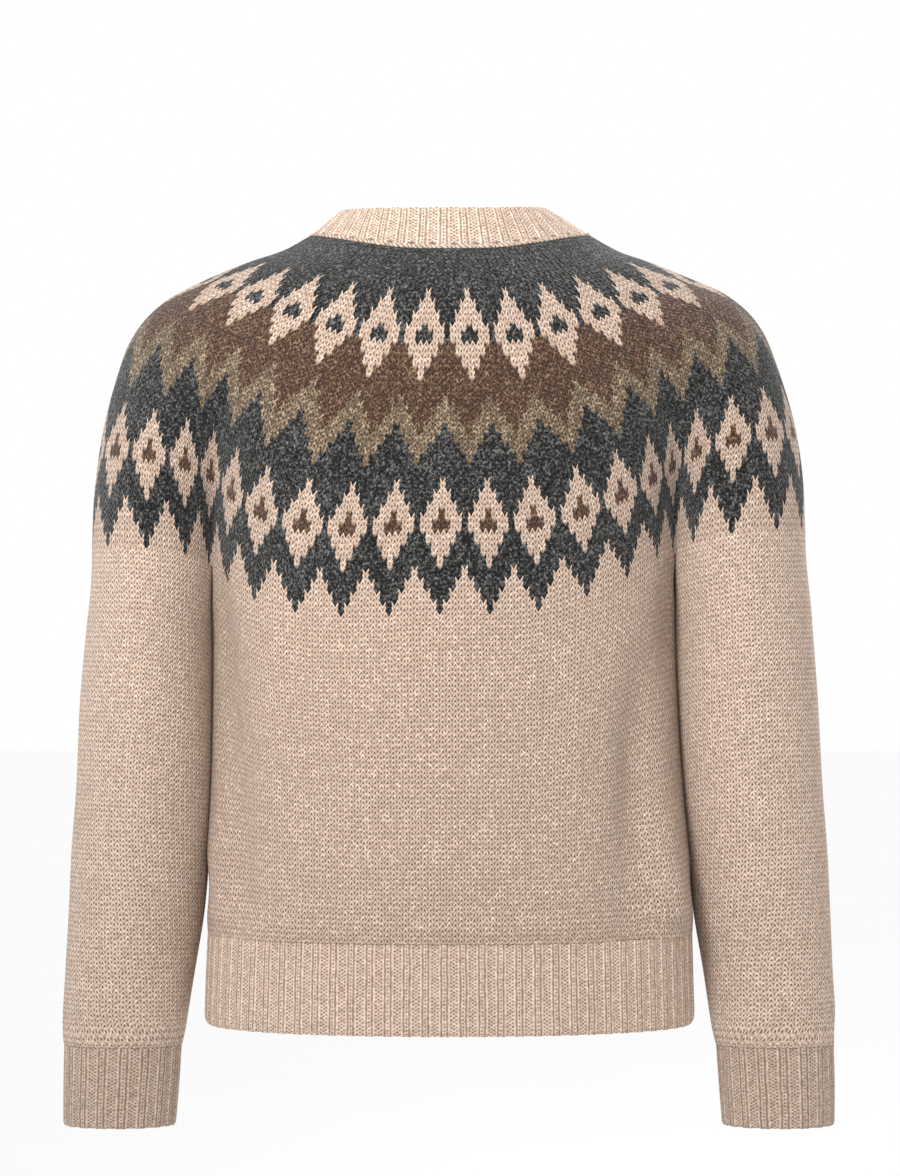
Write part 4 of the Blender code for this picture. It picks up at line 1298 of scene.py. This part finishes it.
def make_sleeve(side):
    """One plain sleeve, with its wales parallel to its outer line."""
    sign = 1 if side == "left" else -1
    columns = sign * np.linspace(-SLEEVE_HALF, SLEEVE_HALF, 87)
    depths = np.linspace(0.0, 1.0, SLEEVE_ROWS + 1)
    points = dented(side, sleeve_points(side, depths, columns), columns)
    foot = ease(0.955, 1.0, depths)[:, None, None]
    points = points * (1 - foot) + cuff_points(side, (0.0,), columns) * foot
    around = np.linalg.norm(np.diff(points, axis=1), axis=2).sum(axis=1)
    narrow = around / around[0]
    knit_columns = sign * QUARTER + sign * columns[None, :] * narrow[:, None]
    rows = np.repeat((YOKE_ROWS + SLEEVE_ROWS * depths)[:, None], len(columns), axis=1)
    knit = drawn_places(knit_columns, rows)
    piece = add_knit("sleeve_knit_" + side, points, knit, plain_faces(), True)
    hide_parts("sleeve_" + side)


def make_cuff(side):
    """One ribbed cuff."""
    sign = 1 if side == "left" else -1

    def cuff_at(depths, columns):
        return cuff_points(side, depths, columns)

    levels = np.concatenate((np.linspace(0.0, 0.92, 20), (0.94, 0.96, 0.975, 0.99, 1.0)))
    grid, knit = rib_grid(cuff_at, levels, -sign * SLEEVE_HALF, sign * SLEEVE_HALF, CUFF_RIBS,
                          CUFF_TOP_Z - CUFF_Z, True)
    grid = rolled(grid, levels, np.zeros(grid.shape[1]), 0.06, 0.0022)
    piece = add_knit("cuff_rib_" + side, grid, knit, rib_faces("cuff"), True)
    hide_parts("cuff_" + side)


def make_hem():
    """The ribbed hem."""
    levels = np.concatenate((np.linspace(0.0, 0.86, 20), (0.90, 0.94, 0.97, 0.99, 1.0)))
    grid, knit = rib_grid(hem_points, levels, -BODY_HALF, BODY_HALF, HEM_RIBS,
                          RIB_TOP_Z - HEM_Z, False, BODY_HALF)
    columns = np.linspace(-BODY_HALF, BODY_HALF, grid.shape[1])
    grid = rolled(grid, levels, columns, 0.10, 0.0010, 0.0036)
    grid[:, :, 2] -= HEM_DROP * ease(0.5, 1.0, levels)[:, None]
    piece = add_knit("hem_ribbing", grid, knit, rib_faces("hem"))
    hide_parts("hem_rib")


def make_neckband():
    """The ribbed neckband and the chain that links it to the yoke."""
    levels = np.concatenate((np.linspace(0.0, CHAIN_DEPTH, 15)[:-1],
                             np.linspace(CHAIN_DEPTH, 1.0, 7)))
    grid, knit = rib_grid(neck_points, levels, -2 * QUARTER, 2 * QUARTER, NECK_RIBS,
                          NECK_LENGTH, False, 2 * QUARTER, False)
    bulge = np.sin(np.clip((levels - CHAIN_DEPTH) / (1.0 - CHAIN_DEPTH), 0.0, 1.0) * math.pi)
    grid = grid + grid_normals(grid, False) * (bulge * CHAIN_HEIGHT)[:, None, None]
    piece = add_knit("neck_rib", grid, knit, rib_faces("neck"))
    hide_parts("neckband")


def make_bands():
    """The button band and the buttonhole band, with a slit behind each button."""
    total = band_line()[1][-1]
    lengths = np.linspace(0.0, total, 181)
    for name, node, edges, lift in (
        ("button_band_rib", "button_band", UNDER_BAND, 0.0),
        ("buttonhole_band_rib", "buttonhole_band", OVER_BAND, OVER_LIFT + BAND_CLOTH),
    ):
        share, stitches, heights = rib_columns(BAND_RIBS)
        across = edges[1] + (edges[0] - edges[1]) * share
        grid = band_grid(lengths, across)
        normals = grid_normals(grid, False)
        grid = grid + normals * (lift + RIB_HEIGHT + heights[None, :, None])
        knit = knit_places(stitches, lengths / RIB_ROW)
        dropped = slit_test(button_lengths()) if node == "buttonhole_band" else None
        piece = add_knit(name, grid, knit, rib_faces("hem"),
                         thickness=BAND_CLOTH, dropped=dropped)
        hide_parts(node)


def slit_test(slits):
    """A test of whether a face of the buttonhole band lies in one of its slits."""
    middle = BAND_RIBS * RIB_STITCHES / 2

    def in_slit(face, layer):
        places = [loop[layer].uv for loop in face.loops]
        stitch = sum(place.x for place in places) / len(places)
        length = sum(place.y for place in places) / len(places) * RIB_ROW
        near = min(abs(length - at) for at in slits)
        return abs(stitch - middle) < SLIT_STITCHES and near < SLIT_HALF_LENGTH

    return in_slit


def add_ring(builder, centre, radius, height, sides):
    """A level ring of corners."""
    ring = []
    for side in range(sides):
        angle = 2 * math.pi * side / sides
        ring.append(builder.verts.new((centre[0] + radius * math.cos(angle),
                                       centre[1] + radius * math.sin(angle), height)))
    return ring


def join_rings(builder, rings, material=0):
    """The faces between rings of corners."""
    for lower, upper in zip(rings, rings[1:]):
        for side in range(len(lower)):
            after = (side + 1) % len(lower)
            face = builder.faces.new((lower[side], lower[after], upper[after], upper[side]))
            face.material_index = material


def add_strand(builder, start, end, top):
    """One strand of thread that goes over the button from hole to hole."""
    run = Vector((end[0] - start[0], end[1] - start[1], 0.0))
    aside = Vector((-run.y, run.x, 0.0)).normalized()
    rings = []
    for step in range(9):
        share = step / 8
        rise = top + 0.5 * THREAD_RADIUS - 0.0016 * abs(2 * share - 1) ** 6
        middle = Vector((start[0], start[1], rise)) + run * share
        slope = 0.0016 * 12 * (2 * share - 1) ** 5
        along = Vector((run.x, run.y, -slope)).normalized()
        upward = along.cross(aside)
        ring = []
        for side in range(8):
            angle = 2 * math.pi * side / 8
            turn = aside * math.cos(angle) + upward * math.sin(angle)
            ring.append(builder.verts.new(middle + turn * THREAD_RADIUS))
        rings.append(ring)
    join_rings(builder, rings, 1)
    builder.faces.new(rings[0]).material_index = 1
    builder.faces.new(rings[-1]).material_index = 1


def button_shape(looks, foot):
    """A round button with a rolled rim, four holes, its thread and its shank."""
    builder = bmesh.new()
    profile = (
        # share of the radius, share of the thickness
        (0.80, 0.0), (0.93, 0.16), (1.0, 0.48), (0.97, 0.82), (0.90, 0.98),
        (0.80, 1.0), (0.70, 0.84), (0.62, 0.70),
    )
    rings = []
    for share, height in profile:
        rings.append(add_ring(builder, (0.0, 0.0), share * BUTTON_RADIUS,
                              height * BUTTON_THICKNESS, 40))
    join_rings(builder, rings)
    top = profile[-1][1] * BUTTON_THICKNESS
    ends = [[rings[0]], [rings[-1]]]
    places = [(x * HOLE_SPREAD, y * HOLE_SPREAD) for x in (-1, 1) for y in (-1, 1)]
    for place in places:
        walls = [add_ring(builder, place, looks.hole, level, 12) for level in (0.0, top)]
        join_rings(builder, walls)
        ends[0].append(walls[0])
        ends[1].append(walls[1])
    for loops in ends:
        edges = []
        for loop in loops:
            for corner, after in zip(loop, loop[1:] + loop[:1]):
                edges.append(builder.edges.get((corner, after)))
        bmesh.ops.triangle_fill(builder, use_beauty=True, edges=edges)
    add_strand(builder, places[0], places[1], top)
    add_strand(builder, places[2], places[3], top)
    shank = [add_ring(builder, (0.0, 0.0), SHANK_RADIUS, level, 12) for level in (foot, 0.0)]
    join_rings(builder, shank, 1)
    builder.faces.new(shank[0]).material_index = 1
    builder.faces.new(shank[1]).material_index = 1
    bmesh.ops.recalc_face_normals(builder, faces=builder.faces)
    for edge in builder.edges:
        if len(edge.link_faces) == 2 and edge.calc_face_angle() > 0.9:
            edge.smooth = False
    return builder


def make_buttons():
    """The seven buttons, each sewn to the band underneath through its slit."""
    looks = bpy.context.scene.cardigan_buttons
    horn = shared_material("dark_horn", horn_material, looks)
    thread = shared_material("sewing_thread", thread_material,
                             bpy.context.scene.cardigan_knit)
    middle = sum(OVER_BAND) / 2
    base = OVER_LIFT + BAND_CLOTH + RIB_HEIGHT + SEAM_GAP
    foot = RIB_HEIGHT + SEAM_GAP - base
    for number, at in enumerate(button_lengths(), start=1):
        here, below = band_grid((at, at + 0.004), (middle, middle - 0.002))
        across = here[1] - here[0]
        out = np.cross(across, below[0] - here[0])
        out /= np.linalg.norm(out)
        across /= np.linalg.norm(across)
        up = np.cross(out, across)
        builder = button_shape(looks, foot)
        turn = np.column_stack((across, up, out))
        for vertex in builder.verts:
            vertex.co = here[0] + out * base + turn @ np.array(vertex.co)
        piece = add_piece("button_" + str(number) + "_horn", builder, (horn, thread))
        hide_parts("button_" + str(number))


def add_light(name, place, target, power):
    """A large soft light that faces a point."""
    data = bpy.data.lights.new(name, "AREA")
    data.shape = "DISK"
    data.size = LIGHT_SIZE
    data.spread = LIGHT_SPREAD
    data.energy = power
    light = bpy.data.objects.new(name, data)
    bpy.context.scene.collection.objects.link(light)
    light.location = place
    way = np.array(target) - np.array(place)
    light.rotation_euler = (
        math.atan2(math.hypot(way[0], way[1]), -way[2]), 0.0, math.atan2(-way[0], way[1]))


def make_stage():
    """Floor, light and camera."""
    looks = bpy.context.scene.cardigan_stage
    builder = bmesh.new()
    bmesh.ops.create_grid(builder, x_segments=8, y_segments=8, size=FLOOR_HALF)
    for vertex in builder.verts:
        vertex.co.z = looks.floor_z
    mesh = bpy.data.meshes.new("floor")
    builder.to_mesh(mesh)
    builder.free()
    mesh.materials.append(floor_material("pale_floor"))
    floor = bpy.data.objects.new("floor", mesh)
    bpy.context.scene.collection.objects.link(floor)

    world = bpy.data.worlds.new("studio")
    bpy.context.scene.world = world
    world.use_nodes = True
    background = world.node_tree.nodes["Background"]
    background.inputs["Color"].default_value = (1.0, 1.0, 1.0, 1.0)
    background.inputs["Strength"].default_value = 1.0
    add_light("key", *KEY_LIGHT)
    add_light("front", *FRONT_LIGHT)

    data = bpy.data.cameras.new("camera")
    data.sensor_width = SENSOR
    data.lens = SENSOR * looks.distance / looks.picture_height
    camera = bpy.data.objects.new("camera", data)
    bpy.context.scene.collection.objects.link(camera)
    camera.location = (0.0, looks.distance, looks.middle_z)
    camera.rotation_euler = (math.pi / 2, 0.0, math.pi)
    bpy.context.scene.camera = camera
    bpy.context.scene.view_settings.view_transform = "Standard"


class CARDIGAN_OT_yoke(bpy.types.Operator):
    """Knit the charted yoke"""

    bl_idname = "cardigan.yoke"
    bl_label = "Yoke"

    def execute(self, context):
        make_yoke()
        return {"FINISHED"}


class CARDIGAN_OT_body(bpy.types.Operator):
    """Knit the back and both fronts"""

    bl_idname = "cardigan.body"
    bl_label = "Back and fronts"

    def execute(self, context):
        make_panel("back_knit", "back", -SIDE_SEAM, SIDE_SEAM)
        make_panel("front_knit_left", "front_left", SIDE_SEAM, BODY_HALF)
        make_panel("front_knit_right", "front_right", -BODY_HALF, -SIDE_SEAM)
        return {"FINISHED"}


class CARDIGAN_OT_sleeves(bpy.types.Operator):
    """Knit both sleeves"""

    bl_idname = "cardigan.sleeves"
    bl_label = "Sleeves"

    def execute(self, context):
        for side in ("left", "right"):
            make_sleeve(side)
        return {"FINISHED"}


class CARDIGAN_OT_ribs(bpy.types.Operator):
    """Knit the hem, the cuffs and the neckband"""

    bl_idname = "cardigan.ribs"
    bl_label = "Hem, cuffs and neckband"

    def execute(self, context):
        make_hem()
        for side in ("left", "right"):
            make_cuff(side)
        make_neckband()
        return {"FINISHED"}


class CARDIGAN_OT_bands(bpy.types.Operator):
    """Knit the button band and the buttonhole band"""

    bl_idname = "cardigan.bands"
    bl_label = "Front bands"

    def execute(self, context):
        make_bands()
        return {"FINISHED"}


class CARDIGAN_OT_buttons(bpy.types.Operator):
    """Turn and sew on the buttons"""

    bl_idname = "cardigan.buttons"
    bl_label = "Buttons"

    def execute(self, context):
        make_buttons()
        return {"FINISHED"}


class CARDIGAN_OT_stage(bpy.types.Operator):
    """Set up the floor, the light and the camera"""

    bl_idname = "cardigan.stage"
    bl_label = "Stage"

    def execute(self, context):
        make_stage()
        return {"FINISHED"}


OPERATORS = (
    CARDIGAN_OT_stage, CARDIGAN_OT_yoke, CARDIGAN_OT_body, CARDIGAN_OT_sleeves,
    CARDIGAN_OT_ribs, CARDIGAN_OT_bands, CARDIGAN_OT_buttons,
)


class CARDIGAN_PT_panel(bpy.types.Panel):
    """Lists the garment's pieces and their looks."""

    bl_idname = "CARDIGAN_PT_panel"
    bl_label = "Jacquard cardigan"
    bl_space_type = "VIEW_3D"
    bl_region_type = "UI"
    bl_category = "Cardigan"

    def draw(self, context):
        for operator in OPERATORS:
            self.layout.operator(operator.bl_idname)
        for name in ("cardigan_knit", "cardigan_buttons", "cardigan_stage"):
            looks = getattr(context.scene, name)
            box = self.layout.box()
            for item in looks.bl_rna.properties:
                if item.identifier not in ("rna_type", "name"):
                    box.prop(looks, item.identifier)


CLASSES = (KnitLooks, ButtonLooks, StageLooks, *OPERATORS, CARDIGAN_PT_panel)


def register():
    """Register the classes and the looks."""
    for item in CLASSES:
        bpy.utils.register_class(item)
    bpy.types.Scene.cardigan_knit = bpy.props.PointerProperty(type=KnitLooks)
    bpy.types.Scene.cardigan_buttons = bpy.props.PointerProperty(type=ButtonLooks)
    bpy.types.Scene.cardigan_stage = bpy.props.PointerProperty(type=StageLooks)


def unregister():
    """Remove what register added."""
    del bpy.types.Scene.cardigan_stage
    del bpy.types.Scene.cardigan_buttons
    del bpy.types.Scene.cardigan_knit
    for item in reversed(CLASSES):
        bpy.utils.unregister_class(item)


def main():
    """Make every piece and the stage."""
    register()
    bpy.ops.cardigan.stage()
    bpy.ops.cardigan.yoke()
    bpy.ops.cardigan.body()
    bpy.ops.cardigan.sleeves()
    bpy.ops.cardigan.ribs()
    bpy.ops.cardigan.bands()
    bpy.ops.cardigan.buttons()


if __name__ == "__main__":
    main()
